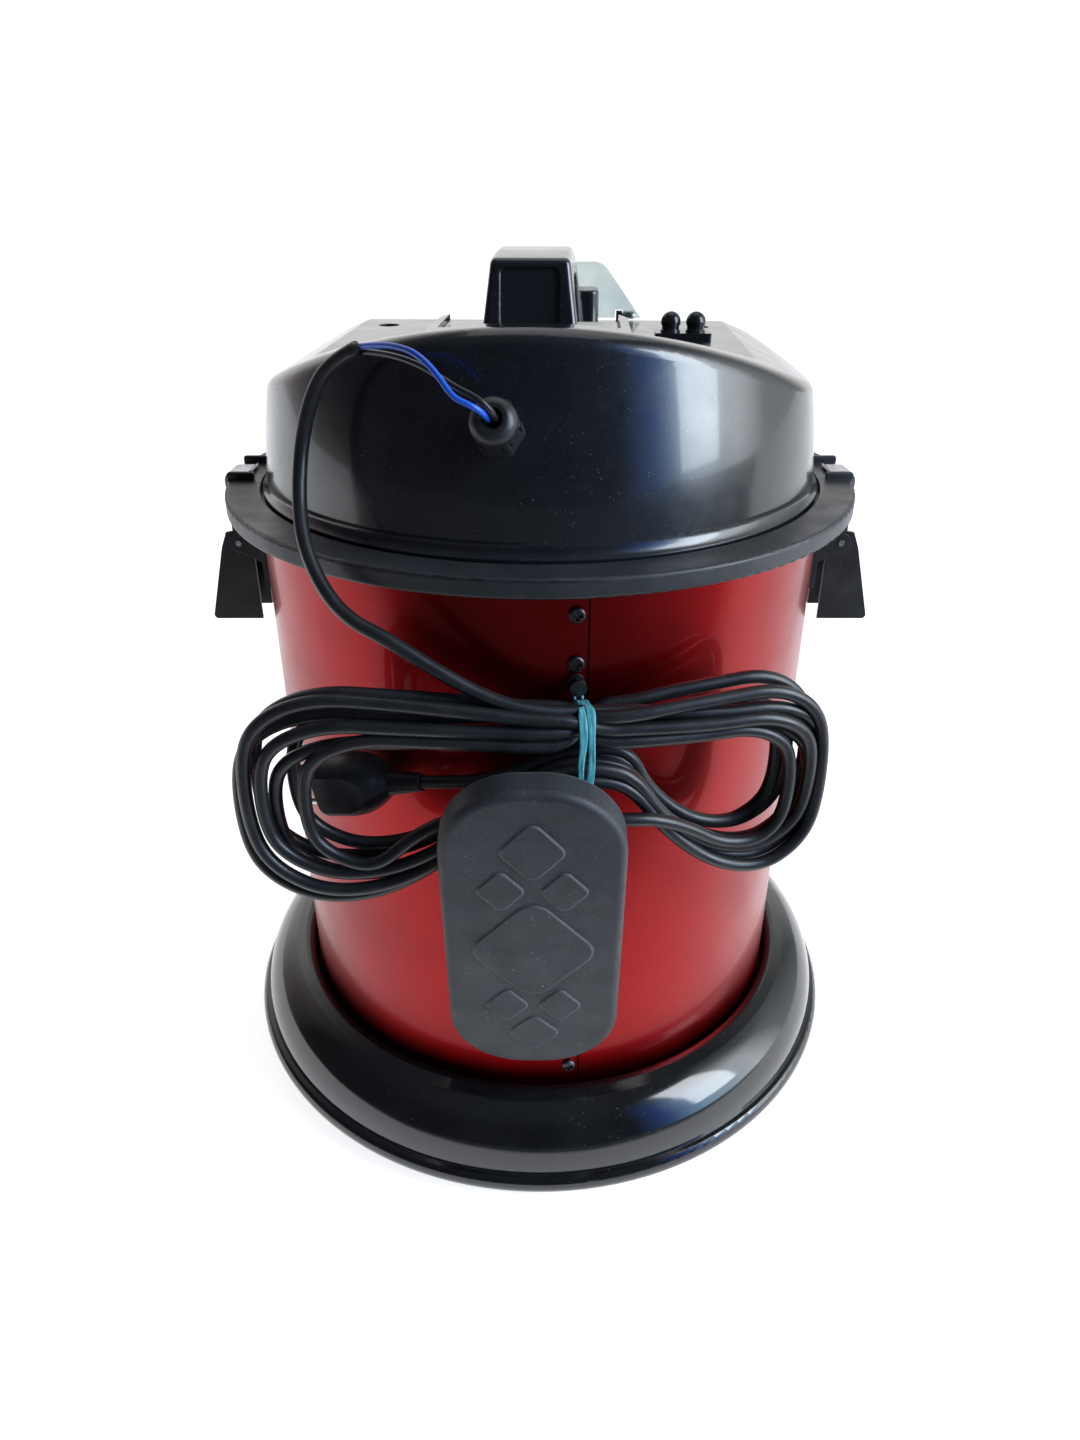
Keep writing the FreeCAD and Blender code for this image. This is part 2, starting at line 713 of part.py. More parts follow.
def deck_space(inset):
    """The space above the deck and above the handle's platform."""
    space = ring(DECK_R + inset, 0, DECK_Z - inset, DECK_Z + 60)
    half = PLATFORM_HALF - inset
    keep = flat_plate(rounded(-half, half, -160, PLATFORM_FRONT - inset, 10), DECK_Z - 10, DECK_Z + 61)
    space = space.cut(keep)
    half = PLATFORM_HALF - 4 + inset
    back = PLATFORM_BACK - inset
    top = flat_plate(rounded(-half, half, back, PLATFORM_FRONT + 20, 8), PLATFORM_Z - inset, DECK_Z + 60)
    return space.fuse(top)


def on_slope(s, x=0.0, lift=0.0):
    """A point on the front slope, s below the deck's edge, raised off it by lift."""
    a = math.radians(SLOPE)
    y = DECK_END + s * math.cos(a) + lift * math.sin(a)
    return V(x, y, DECK_Z - s * math.sin(a) + lift * math.cos(a))


def to_slope(shape, s):
    """Lay a piece made flat about the origin onto the front slope."""
    copy = spun(shape, -SLOPE, V(0, 0, 0), V(1, 0, 0))
    return moved(copy, on_slope(s))


def gland_axis():
    a = math.radians(GLAND_TILT)
    return V(0, -math.cos(a), math.sin(a))


def gland_bore():
    """The hole through the cover for the gland's thread."""
    axis = gland_axis()
    return spun(rod(GLAND_BASE - axis * 20, GLAND_BASE + axis * 14, GLAND_HOLE_R), GLAND_YAW)


def head_cover():
    outer = cover_form(0)
    crest = [e for e in outer.Edges if e.BoundBox.ZMax > RING_TOP + 20 and e.BoundBox.ZMin > RING_TOP + 12
             and e.Length > 12]
    outer = softened(outer, crest, CREST_ROUND)
    outer = outer.cut(deck_space(0))
    rim = [e for e in outer.Edges if abs(e.BoundBox.ZMin - PLATFORM_Z) < 0.1 and e.BoundBox.ZLength < 0.1]
    outer = softened(outer, rim, 1.2)
    inner = cover_form(COVER_T).cut(deck_space(COVER_T))
    inner = inner.common(block(-200, 200, -200, 200, RING_TOP - 20, RING_TOP + 200))
    sleeve = inner.fuse(ring(RING_IN - 1.6 - COVER_T, 0, RING_TOP - 8, RING_TOP))
    cover = outer.cut(sleeve)
    cover = cover.cut(gland_bore())
    for x, y in WELLS:
        wall = ring(8.0, 0, PILLAR_TOP + 0.2, DECK_Z - 0.5)
        cover = cover.fuse(moved(wall, V(x, y, 0)))
    for x, y in WELLS:
        cover = cover.cut(moved(ring(5.6, 0, PILLAR_TOP + 3.0, DECK_Z + 5), V(x, y, 0)))
        cover = cover.cut(moved(ring(2.3, 0, PILLAR_TOP - 3.0, DECK_Z), V(x, y, 0)))
    for x in (-CUP_X, CUP_X):
        cup = moved(ring(9.5, 0, DECK_Z - 8.0, DECK_Z - 0.5), V(x, CUP_Y, 0))
        cover = cover.fuse(cup).cut(moved(ring(7.5, 0, DECK_Z - 5.5, DECK_Z + 5), V(x, CUP_Y, 0)))
    cover = cover.cut(to_slope(block(-18.5, 18.5, -12.5, 12.5, -2.5, 5), SWITCH_S))
    cover = cover.cut(to_slope(block(-14.5, 14.5, -8.5, 8.5, -8, 5), SWITCH_S))
    cover = cover.cut(to_slope(block(-52, 52, -13, 13, -8, 5), GRILLE_S))
    return cover


def handle():
    """Carrying handle that runs front to back, with a broad front foot."""
    z = RING_TOP
    half = HANDLE_W / 2
    grip = side_plate([
        (-100.0, z + 84.2),
        (-93.0, z + 112.2),
        ((-33.0, z + 113.2), (22.0, z + 104.4)),
        (40.0, z + 90.0),
        (40.0, z + 70.2),
        (22.0, z + 70.2),
        (16.2, z + 96.4),
        ((-30.0, z + 100.6), (-71.5, z + 98.9)),
        (-80.0, z + 84.2),
    ], -half - 4, half + 4)
    top = HANDLE_TOP_W / 2
    low = half + (half - top) * 0.5
    taper = [(-low, z + 69.3), (low, z + 69.3), (top, z + 114.0), (-top, z + 114.0)]
    grip = grip.common(front_plate(taper, -110, 60))
    for y, height, radius in HANDLE_BENDS:
        across = [e for e in grip.Edges if e.BoundBox.XLength > 30 and abs(e.BoundBox.YMin - y) < 0.2
                  and abs(e.BoundBox.ZMin - z - height) < 0.2]
        grip = softened(grip, across, radius)
    sides = [e for e in grip.Edges if e.BoundBox.XLength < 5 and e.BoundBox.ZMin > z + 84.1
             and e.BoundBox.ZMax > z + 84.5]
    grip = softened(grip, sides, 2.6)
    foot = flat_plate(rounded(-30, 30, 33, 56, 5), z + 70.2, z + 88.0)
    foot = softened(foot, [e for e in foot.Edges if e.BoundBox.ZMin > z + 87.9], 1.5)
    return grip.cut(handle_panel()).fuse(foot).removeSplitter()


def handle_panel():
    """Shallow recess in the handle's rear face."""
    z = RING_TOP
    face = front_plate(rounded(-12.6, 12.6, -12.0, 11.6, 3.0), -8.0, 1.4)
    face.rotate(V(0, 0, 0), V(1, 0, 0), -14.2)
    return moved(face, V(0, -96.7, z + 97.9))


def head_screws():
    return group([aimed(screw(4.6, 2.8, 1.85, 12.0), V(p.x, p.y, PILLAR_TOP + 3.05), UP)
                  for p in cover_screw_places()])


def tray_gasket():
    low = RING_TOP - RING_T
    return ring(DRUM_R + 3.9, DRUM_R - 1.5, DRUM_TOP + GAP, low + 1.5)


def tool_clip():
    """A pair of round-headed posts on a low plate, on the deck's right side."""
    at = V(CLIP_X, CLIP_Y, DECK_Z)
    clip = moved(flat_plate(rounded(-14, 14, -5.2, 5.2, 1), 0, 3.2), at)
    for dx in (-6.2, 6.2):
        foot = at + V(dx, 0, 3.0)
        clip = clip.fuse(Part.makeCylinder(4.9, 1.4, foot)).fuse(Part.makeCylinder(4.3, 5.0, foot))
        cap = Part.makeSphere(4.9, foot + V(0, 0, 5.0))
        clip = clip.fuse(cap.cut(Part.makeCylinder(9, 9, foot - V(0, 0, 5.5))))
    return clip.removeSplitter()


def flap_hinge():
    """Two blocks on the deck's front edge, each with a pin for the flap."""
    pieces = []
    for side in (-1, 1):
        x0 = KNUCKLE_X - 0.4
        lug = block(x0 - 3.4, x0, DECK_END - 3.3, DECK_END - 0.2, DECK_Z, FLAP_PIN_Z + KNUCKLE_R - 0.4)
        lug = lug.fuse(rod(V(x0 - 3.4, DECK_END, FLAP_PIN_Z), V(x0, DECK_END, FLAP_PIN_Z), KNUCKLE_R))
        lug = lug.fuse(rod(V(x0 - 1, DECK_END, FLAP_PIN_Z), V(x0 + 5.4, DECK_END, FLAP_PIN_Z), FLAP_PIN_R))
        lug = lug if side > 0 else lug.mirror(V(0, 0, 0), V(1, 0, 0))
        pieces.append(moved(lug, V(FLAP_X, 0, 0)))
    return group(pieces)


def clear_flap():
    """Bell-shaped clear splash flap on two knuckles, standing open."""
    low = FLAP_PIN_Z - 1.4
    top = FLAP_TOP
    outline = [
        (-FLAP_HALF, low),
        ((-29.0, low + 12.0), (-20.0, top - 5.0)),
        ((-15.5, top - 1.0), (-9.0, top)),
        (9.0, top),
        ((15.5, top - 1.0), (20.0, top - 5.0)),
        ((29.0, low + 12.0), (FLAP_HALF, low)),
    ]
    half = FLAP_T / 2
    flap = front_plate(outline, DECK_END - half, DECK_END + half)
    for side in (-1, 1):
        x0 = side * KNUCKLE_X
        x1 = side * (KNUCKLE_X + KNUCKLE_L)
        gap0 = min(side * (KNUCKLE_X - 4.4), x0)
        gap1 = max(side * (KNUCKLE_X - 4.4), x0)
        flap = flap.cut(block(gap0, gap1, DECK_END - 5, DECK_END + 5, low - 1, FLAP_PIN_Z + 2.9))
        flap = flap.fuse(rod(V(x0, DECK_END, FLAP_PIN_Z), V(x1, DECK_END, FLAP_PIN_Z), KNUCKLE_R))
        x0 = side * (KNUCKLE_X - 1)
        bore = rod(V(x0, DECK_END, FLAP_PIN_Z), V(x1 + side, DECK_END, FLAP_PIN_Z), FLAP_PIN_R + RUN)
        flap = flap.cut(bore)
    return moved(flap, V(FLAP_X, 0, 0))


def switch_bezel():
    frame = flat_plate(rounded(-18, 18, -12, 12, 2), -2.45, -0.6)
    skirt = flat_plate(rounded(-14.2, 14.2, -8.2, 8.2, 1), -16, -2)
    well = frame.fuse(skirt).cut(block(-12.5, 12.5, -6.5, 6.5, -14, 1))
    for side in (-1, 1):
        well = well.cut(rod(V(side * 12.4, 0, -5.0), V(side * 13.4, 0, -5.0), 1.3))
    return to_slope(well, SWITCH_S)


def switch_rocker():
    """Rocker that turns on two stubs along X, dished on top."""
    body = side_plate([
        (-5.8, -0.4),
        ((0, -1.9), (5.8, -0.4)),
        (5.6, -4.0),
        (2.0, -9.0),
        (-2.0, -9.0),
        (-5.6, -4.0),
    ], -12.1, 12.1)
    body = body.fuse(rod(V(-13.2, 0, -5.0), V(13.2, 0, -5.0), 1.25))
    return to_slope(body, SWITCH_S)


def exhaust_grille():
    plate = flat_plate(rounded(-51.7, 51.7, -12.7, 12.7, 2), -2.8, 0.4)
    for i in range(13):
        x = -45 + i * 7.5
        plate = plate.cut(flat_plate(rounded(x - 1.9, x + 1.9, -9.5, 9.5, 1.8), -4, 2))
    return to_slope(plate, GRILLE_S)


# ---- cable gland and cores ----------------------------------------------------------
def gland_piece(shape):
    """Lay a gland piece made along +Z, with z = 0 on the cover's skin, on the gland's axis."""
    return spun(aimed(shape, GLAND_BASE, gland_axis()), GLAND_YAW)


def hexagon(across_flats, z0, z1):
    r = across_flats / math.sqrt(3)
    points = [(r * math.cos(math.radians(60 * i)), r * math.sin(math.radians(60 * i))) for i in range(6)]
    return flat_plate(points, z0, z1)


def gland_body():
    body = hexagon(19.0, 3.4, 9.0)
    body = body.common(ring(10.6, 0, 3.0, 9.5))
    body = body.fuse(ring(7.4, 0, -17.0, 4.0)).fuse(ring(6.9, 0, 8.5, 16.0))
    return gland_piece(body.cut(ring(4.6, 0, -18, 17)))


def gland_nut():
    """Domed clamping nut with a hexagon waist and grip ribs."""
    dome = turned([
        (7.0, 10.0),
        (9.6, 10.0),
        (9.6, 18.6),
        ((8.6, 22.4), (6.0, 24.4)),
        (4.3, 24.4),
        (4.3, 17.0),
        (7.0, 16.4),
    ])
    waist = hexagon(19.0, 10.0, 16.5).common(ring(10.6, 0, 9.5, 17)).cut(ring(7.0, 0, 9, 18))
    nut = dome.fuse(waist)
    for i in range(18):
        groove = rod(polar(10.1, i * 20 + 10, 12.0), polar(10.1, i * 20 + 10, 19.5), 0.7)
        nut = nut.cut(groove)
    return gland_piece(nut)


def gland_seal():
    return gland_piece(ring(4.2, 2.9, 6.0, 22.0))


def gland_locknut():
    return gland_piece(hexagon(20.0, -15.5, -11.0).cut(ring(7.45, 0, -18, 0)))


def tube_along(points, radius, label):
    """Round tube along straight runs joined by tangent arcs; prints the arcs' radii."""
    edges = []
    radii = []
    here = points[0]
    for i in range(1, len(points) - 1):
        a = points[i] - points[i - 1]
        b = points[i + 1] - points[i]
        turn = a.getAngle(b)
        cut = 0.45 * min(a.Length, b.Length)
        radii.append(cut / math.tan(turn / 2))
        start = points[i] - a.normalize() * cut
        end = points[i] + b.normalize() * cut
        bisector = (end - points[i]).add(start - points[i])
        bisector.normalize()
        reach = radii[-1] / math.cos(turn / 2) - radii[-1]
        edges.append(Part.LineSegment(here, start).toShape())
        edges.append(Part.Arc(start, points[i] + bisector * reach, end).toShape())
        here = end
    edges.append(Part.LineSegment(here, points[-1]).toShape())
    path = Part.Wire(edges)
    first = points[1] - points[0]
    circle = Part.Wire([Part.Circle(points[0], first, radius).toShape()])
    tube = path.makePipeShell([circle], True, True)
    expected = math.pi * radius * radius * path.Length
    print(label, "arc radii", [round(r, 1) for r in radii])
    print(label, "length", round(path.Length, 1), "volume ratio", round(tube.Volume / expected, 4))
    return tube


def core_blue():
    return tube_along(CORE_BLUE_ROUTE, CORE_R, "core_blue")


def core_black():
    return tube_along(CORE_BLACK_ROUTE, CORE_R, "core_black")


# ---- motor --------------------------------------------------------------------------
def intake_cage():
    """Slotted basket under the tray that holds the filter sleeve off the fan."""
    top = MOTOR_FLOOR - 3.0
    low = top - 62.0
    cage = ring(50.0, 0, low, top).cut(ring(47.5, 0, low + 2.5, top + 1))
    cage = cage.fuse(ring(58.0, 47.5, top - 3.0, top))
    slot = block(40, 56, -5.0, 5.0, low + 8, top - 10)
    for window in around(slot, 12):
        cage = cage.cut(window)
    return cage


def filter_sleeve():
    top = MOTOR_FLOOR - 3.0
    low = top - 62.0
    return ring(54.5, 50.2, low - 3.0, top - 6.0).fuse(ring(54.5, 0, low - 3.6, low - 0.2))


def filter_band():
    top = MOTOR_FLOOR - 3.0
    return ring(56.0, 54.7, top - 16.0, top - 11.0)


def motor_gasket():
    return ring(66.0, 50.0, MOTOR_FLOOR, MOTOR_FLOOR + 3.0)


def blower_housing():
    low = MOTOR_FLOOR + 3.0
    top = low + FAN_CAN_H
    can = ring(FAN_CAN_R, 0, low, top).cut(ring(FAN_CAN_R - 1.6, 0, low + 1.6, top - 1.6))
    can = can.cut(ring(24.0, 0, low - 1, low + 5)).cut(ring(12.0, 0, top - 5, top + 1))
    port = block(50, 80, -9, 9, top - 16, top - 5)
    for window in around(port, 6, 30):
        can = can.cut(window)
    return can


def motor_frame():
    low = MOTOR_FLOOR + 3.0 + FAN_CAN_H
    top = low + 47.0
    frame = ring(45.0, 0, low, top).cut(ring(42.6, 0, low - 1, top - 2.5))
    frame = frame.fuse(ring(10.0, 0, top - 9, top)).cut(ring(SHAFT_R + RUN, 0, top - 12, top + 1))
    window = block(30, 50, -8, 8, low + 5, top - 34)
    for opening in around(window, 4, 45):
        frame = frame.cut(opening)
    brush = block(20, 50, -6, 6, top - 15, top - 7)
    for opening in around(brush, 2):
        frame = frame.cut(opening)
    return frame


def motor_stator():
    low = MOTOR_FLOOR + 3.0 + FAN_CAN_H
    stack = ring(42.4, 25.0, low + 9, low + 33)
    coil = ring(38.0, 26.0, low + 4, low + 9)
    return stack.fuse(coil).fuse(ring(38.0, 26.0, low + 33, low + 37))


def motor_rotor():
    low = MOTOR_FLOOR + 3.0 + FAN_CAN_H
    shaft = ring(SHAFT_R, 0, low - 36, low + 46)
    return shaft.fuse(ring(24.0, 0, low + 9, low + 33)).fuse(ring(11.0, 0, low + 34, low + 37.5))


def fan_impeller():
    low = MOTOR_FLOOR + 3.0 + 5.0
    disc = ring(62.0, 0, low + 16, low + 18)
    disc = disc.fuse(ring(62.0, 22.0, low, low + 2)).fuse(ring(9.0, 0, low + 1, low + 20))
    for i in range(7):
        vane = ring(60.0, 58.4, low + 1, low + 17)
        vane = vane.common(block(0, 60, 0, 60, low, low + 18))
        vane = moved(vane, V(-36.0, -28.0, 0))
        vane = vane.common(ring(61.0, 20.0, low, low + 18))
        disc = disc.fuse(spun(vane, i * 360.0 / 7))
    return disc.cut(ring(SHAFT_R, 0, low - 5, low + 25))


# ---- cord, tie, plug and foot switch ------------------------------------------------
def cord_drop():
    return tube_along(CORD_ROUTE, CORD_R, "cord_drop")


def cord_hank():
    """Bow-tie bundle of the coiled cord, narrow where it's tied."""
    wires = []
    for x, y, z, half_z, half_y in HANK_SECTIONS:
        ellipse = Part.Ellipse(V(x, y, z + half_z), V(x, y + half_y, z), V(x, y, z))
        wires.append(Part.Wire([ellipse.toShape()]))
    return Part.makeLoft(wires, True, False)


def tie_outline(grow):
    """The tie's loop round the bundle, seen along X, drawn out by its thickness."""
    return [
        (-152.8 + grow, 290.0),
        ((-154.2 + grow / 2, 294.2 + grow), (-159.0, 295.8 + grow)),
        ((-170.6, 294.6 + grow), (-176.2 - grow, 287.0)),
        (-176.4 - grow, 263.0),
        ((-172.6, 256.6 - grow), (-164.0, 255.9 - grow)),
        ((-155.1, 257.5 - grow), (-152.8 + grow, 264.2)),
    ]


def cord_tie():
    """Plastic strip tied round the bundle's waist and round the stud."""
    t = 0.8
    x0 = SEAM_SCREW_X - 0.9
    loop = side_plate(tie_outline(t), x0, x0 + 4.0)
    eye_at = V(SEAM_SCREW_X, -DRUM_R - 6.0, HOOK_Z)
    loop = loop.fuse(block(x0, x0 + 4.0, eye_at.y, eye_at.y + 3.2, 292.0, HOOK_Z - 3.0))
    loop = loop.cut(side_plate(tie_outline(0), x0 - 1, x0 + 5.0))
    eye = rod(eye_at, eye_at + V(0, 3.2, 0), SHANK_R + 1.5)
    loop = loop.fuse(eye)
    return loop.cut(rod(eye_at - V(0, 1, 0), eye_at + V(0, 5, 0), SHANK_R + 0.5))


def pedal_place(shape):
    """Hang a foot-switch piece, made flat with its length along Y and its back at z = 0."""
    copy = spun(shape, 90.0 - PEDAL_LEAN, V(0, 0, 0), V(1, 0, 0))
    copy = spun(copy, PEDAL_YAW)
    return moved(copy, PEDAL_AT)


def pedal_outline(inset):
    """Oblong with well-rounded corners."""
    w = PEDAL_W / 2 - inset
    h = PEDAL_L / 2 - inset
    return rounded(-w, w, -h, h, 37.0 - inset)


def lead_bush(side):
    """Bush on the foot switch's back, from which a lead leaves sideways."""
    inner = V(side * LEAD_IN, LEAD_Y, LEAD_Z)
    bush = rod(inner, V(side * LEAD_OUT, LEAD_Y, LEAD_Z), LEAD_BUSH_R)
    foot = block(min(inner.x, inner.x + side * 12), max(inner.x, inner.x + side * 12),
                 LEAD_Y - 5.5, LEAD_Y + 5.5, LEAD_Z, 1.0)
    bush = bush.fuse(foot)
    return bush.cut(rod(V(side * (LEAD_OUT - 5), LEAD_Y, LEAD_Z), V(side * 60, LEAD_Y, LEAD_Z), CORD_R))


def pedal_base():
    base = flat_plate(pedal_outline(2.4), 0, PEDAL_BASE_T)
    base = base.cut(flat_plate(pedal_outline(4.4), 2.0, PEDAL_BASE_T + 1))
    for side in (-1, 1):
        x = side * PEDAL_PIN_X
        ear = block(x - 3, x + 3, PEDAL_PIN_Y - 4, PEDAL_PIN_Y + 4, 1.5, 8.0)
        base = base.fuse(ear)
        base = base.cut(rod(V(x - 8, PEDAL_PIN_Y, PEDAL_PIN_Z), V(x + 5, PEDAL_PIN_Y, PEDAL_PIN_Z), 1.5))
    base = base.fuse(ring(6.0, 4.2, 1.5, 5.0).translate(V(0, PEDAL_SPRING_Y, 0)))
    for side in (-1, 1):
        base = base.fuse(lead_bush(side))
    return base


def diamond(cx, cy, half_w, half_h):
    """Raised diamond with rounded corners."""
    tile = flat_plate([(cx - half_w, cy), (cx, cy - half_h), (cx + half_w, cy), (cx, cy + half_h)],
                      PEDAL_TOP_Z - 1.0, PEDAL_TOP_Z + 0.9)
    tile = softened(tile, [e for e in tile.Edges if e.BoundBox.ZLength > 1.0], half_w * 0.32)
    return softened(tile, [e for e in tile.Edges if e.BoundBox.ZMin > PEDAL_TOP_Z + 0.8], 0.5)


def pedal_plate():
    """Upper shell of the foot switch with raised diamonds, on a pin near its top end."""
    plate = flat_plate(pedal_outline(0), 3.0, PEDAL_TOP_Z)
    top = [e for e in plate.Edges if e.BoundBox.ZMin > PEDAL_TOP_Z - 0.1]
    plate = softened(plate, top, 4.0)
    plate = plate.cut(flat_plate(pedal_outline(2.0), 2.0, 9.5))
    plate = plate.cut(flat_plate(pedal_outline(6.0), 9.0, PEDAL_TOP_Z - 2.5))
    for cx, cy, half_w, half_h in DIAMONDS:
        plate = plate.fuse(diamond(cx, cy, half_w, half_h))
    for side in (-1, 1):
        x = side * PEDAL_PIN_X
        ear = block(x - 7.5, x - 3.4, PEDAL_PIN_Y - 4, PEDAL_PIN_Y + 4, 2.6, PEDAL_TOP_Z - 2)
        ear = ear.cut(rod(V(x - 10, PEDAL_PIN_Y, PEDAL_PIN_Z), V(x, PEDAL_PIN_Y, PEDAL_PIN_Z), 1.5 + RUN))
        plate = plate.fuse(ear)
    plate = plate.fuse(Part.makeCylinder(3.6, 6.0, V(0, PEDAL_SPRING_Y, 10.0)))
    return pedal_place(plate)


def pedal_pins():
    pins = []
    for side in (-1, 1):
        x = side * PEDAL_PIN_X
        pins.append(rod(V(x - 7.5, PEDAL_PIN_Y, PEDAL_PIN_Z), V(x + 3, PEDAL_PIN_Y, PEDAL_PIN_Z), 1.5))
    return pins


def pedal_spring():
    """Return spring, drawn as the sleeve that its coils fill."""
    return pedal_place(ring(4.0, 3.0, 2.1, 9.9).translate(V(0, PEDAL_SPRING_Y, 0)))


def plug_body():
    """Round two-pin plug: gripped body and a tapered boot."""
    body = turned([
        (0, -20.0),
        (13.0, -20.0),
        ((15.0, -19.0), (15.8, -16.0)),
        (15.8, -6.0),
        ((14.0, 4.0), (9.0, 12.0)),
        (6.0, 16.0),
        (4.2, 32.0),
        (0, 32.0),
    ])
    return plug_place(body.common(block(-20, 20, -12.5, 12.5, -40, 60)))


def plug_pins():
    pins = []
    for x in (-9.5, 9.5):
        pin = Part.makeCylinder(2.0, 19.0, V(x, 0, -39.0))
        pins.append(plug_place(softened(pin, [e for e in pin.Edges if e.BoundBox.ZMax < -38.9], 1.2)))
    return group(pins)


def plug_place(shape):
    """The plug lies against the drum behind the left lobe, its pins towards -X."""
    copy = spun(shape, 78.0, V(0, 0, 0), V(0, 1, 0))
    return moved(spun(copy, -26.0), PLUG_AT)


# ---- everything, by name --------------------------------------------------------------
def drum_nodes():
    sides = (LATCH_YAW, LATCH_YAW + 180)
    brackets = [spun(latch_bracket(), side) for side in sides]
    pins = [spun(p, side) for side in sides for p in latch_pins()]
    rivets = [spun(p, side) for side in sides for p in latch_rivets()]
    nodes = {
        "drum_shell": drum_shell(),
        "drum_bottom": drum_bottom(),
        "seam_screws": seam_screws(),
        "cord_hook": cord_hook(),
        "inlet_port": inlet_port(),
        "inlet_gasket": inlet_gasket(),
        "inlet_screws": inlet_screws(),
        "inlet_elbow": inlet_elbow(),
        "base_ring": base_ring(),
        "base_plate": base_plate(),
        "base_screws": base_screws(),
        "latch_brackets": group(brackets),
        "latch_pins": group(pins),
        "latch_rivets": group(rivets),
    }
    for side, turn in zip(("right", "left"), sides):
        nodes["latch_lever_" + side] = spun(latch_lever(), turn)
        nodes["latch_strap_" + side] = spun(latch_strap(), turn)
    for number in range(CASTER_COUNT):
        nodes["caster_fork_%d" % (number + 1)] = caster(caster_fork(), number)
        nodes["caster_wheel_%d" % (number + 1)] = caster(caster_wheel(), number)
    return nodes


def head_nodes():
    """Pieces of the head, turned on the drum by the head's yaw."""
    straight = {
        "head_cover": head_cover(),
        "handle": handle(),
        "tool_clip": tool_clip(),
        "flap_hinge": flap_hinge(),
        "clear_flap": clear_flap(),
        "switch_bezel": switch_bezel(),
        "switch_rocker": switch_rocker(),
        "exhaust_grille": exhaust_grille(),
        "gland_body": gland_body(),
        "gland_nut": gland_nut(),
        "gland_seal": gland_seal(),
        "gland_locknut": gland_locknut(),
    }
    nodes = {name: spun(shape, HEAD_YAW) for name, shape in straight.items()}
    nodes.update({
        "motor_tray": motor_tray(),
        "head_screws": head_screws(),
        "tray_gasket": tray_gasket(),
        "intake_cage": intake_cage(),
        "filter_sleeve": filter_sleeve(),
        "filter_band": filter_band(),
        "motor_gasket": motor_gasket(),
        "blower_housing": blower_housing(),
        "motor_frame": motor_frame(),
        "motor_stator": motor_stator(),
        "motor_rotor": motor_rotor(),
        "fan_impeller": fan_impeller(),
        "core_blue": core_blue(),
        "core_black": core_black(),
    })
    return nodes


def cord_nodes():
    return {
        "cord_drop": cord_drop(),
        "cord_hank": cord_hank(),
        "cord_tie": cord_tie(),
        "pedal_base": pedal_place(group([pedal_base()] + pedal_pins())),
        "pedal_plate": pedal_plate(),
        "pedal_spring": pedal_spring(),
        "plug_body": plug_body(),
        "plug_pins": plug_pins(),
    }


def main():
    os.makedirs("parts", exist_ok=True)
    nodes = {}
    nodes.update(drum_nodes())
    nodes.update(head_nodes())
    nodes.update(cord_nodes())
    for name, shape in nodes.items():
        if not shape.isValid() or not shape.Solids:
            print("check", name, "valid", shape.isValid(), "solids", len(shape.Solids))
        shape.exportStep("parts/%s.step" % name)
    print(len(nodes), "nodes")


main()
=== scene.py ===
"""Drum vacuum cleaner: cords, tie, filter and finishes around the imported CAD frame."""

import json
import math

import bmesh
import bpy
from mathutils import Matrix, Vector


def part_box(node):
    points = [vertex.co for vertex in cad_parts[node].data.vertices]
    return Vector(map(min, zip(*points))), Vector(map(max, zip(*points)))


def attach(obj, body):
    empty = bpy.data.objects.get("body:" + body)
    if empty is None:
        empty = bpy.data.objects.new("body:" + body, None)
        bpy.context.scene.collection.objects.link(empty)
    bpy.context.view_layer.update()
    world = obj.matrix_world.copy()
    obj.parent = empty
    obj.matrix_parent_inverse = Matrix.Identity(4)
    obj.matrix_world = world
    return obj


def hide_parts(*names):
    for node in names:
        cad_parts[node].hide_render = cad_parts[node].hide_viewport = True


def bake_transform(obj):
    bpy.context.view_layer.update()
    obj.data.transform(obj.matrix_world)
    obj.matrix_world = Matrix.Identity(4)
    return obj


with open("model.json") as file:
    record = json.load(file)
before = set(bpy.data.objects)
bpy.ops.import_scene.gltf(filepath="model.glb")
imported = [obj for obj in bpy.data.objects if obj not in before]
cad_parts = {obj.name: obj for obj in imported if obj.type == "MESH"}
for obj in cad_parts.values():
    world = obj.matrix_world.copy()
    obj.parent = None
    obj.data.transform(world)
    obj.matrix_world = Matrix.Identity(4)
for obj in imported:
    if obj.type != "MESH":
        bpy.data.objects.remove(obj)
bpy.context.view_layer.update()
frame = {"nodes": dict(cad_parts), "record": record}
NODES = frame["nodes"]
MM = 0.001

# ---- camera -------------------------------------------------------------------------
CAMERA_AT = (-0.0712, -0.5411, 0.4988)
CAMERA_PITCH = 28.76
CAMERA_LENS = 25.0
SENSOR_WIDTH = 36.0


def link(obj):
    bpy.context.scene.collection.objects.link(obj)
    return obj


def make_camera():
    data = bpy.data.cameras.new("camera")
    data.lens = CAMERA_LENS
    data.sensor_width = SENSOR_WIDTH
    data.clip_start = 0.01
    data.clip_end = 50.0
    camera = link(bpy.data.objects.new("camera", data))
    camera.location = CAMERA_AT
    turn = math.atan2(CAMERA_AT[0], CAMERA_AT[1]) + math.pi
    camera.rotation_euler = (math.radians(90 - CAMERA_PITCH), 0, -turn)
    bpy.context.scene.camera = camera


make_camera()

# ---- lines and tubes ------------------------------------------------------------------


def nurbs(points):
    """Smooth curve with these control points, in millimetres."""
    data = bpy.data.curves.new("bare", "CURVE")
    data.dimensions = "3D"
    data.resolution_u = 10
    spline = data.splines.new("NURBS")
    spline.points.add(len(points) - 1)
    for target, point in zip(spline.points, points):
        target.co = (point[0] * MM, point[1] * MM, point[2] * MM, 1.0)
    spline.order_u = 3
    spline.use_endpoint_u = True
    return bpy.data.objects.new("bare", data)


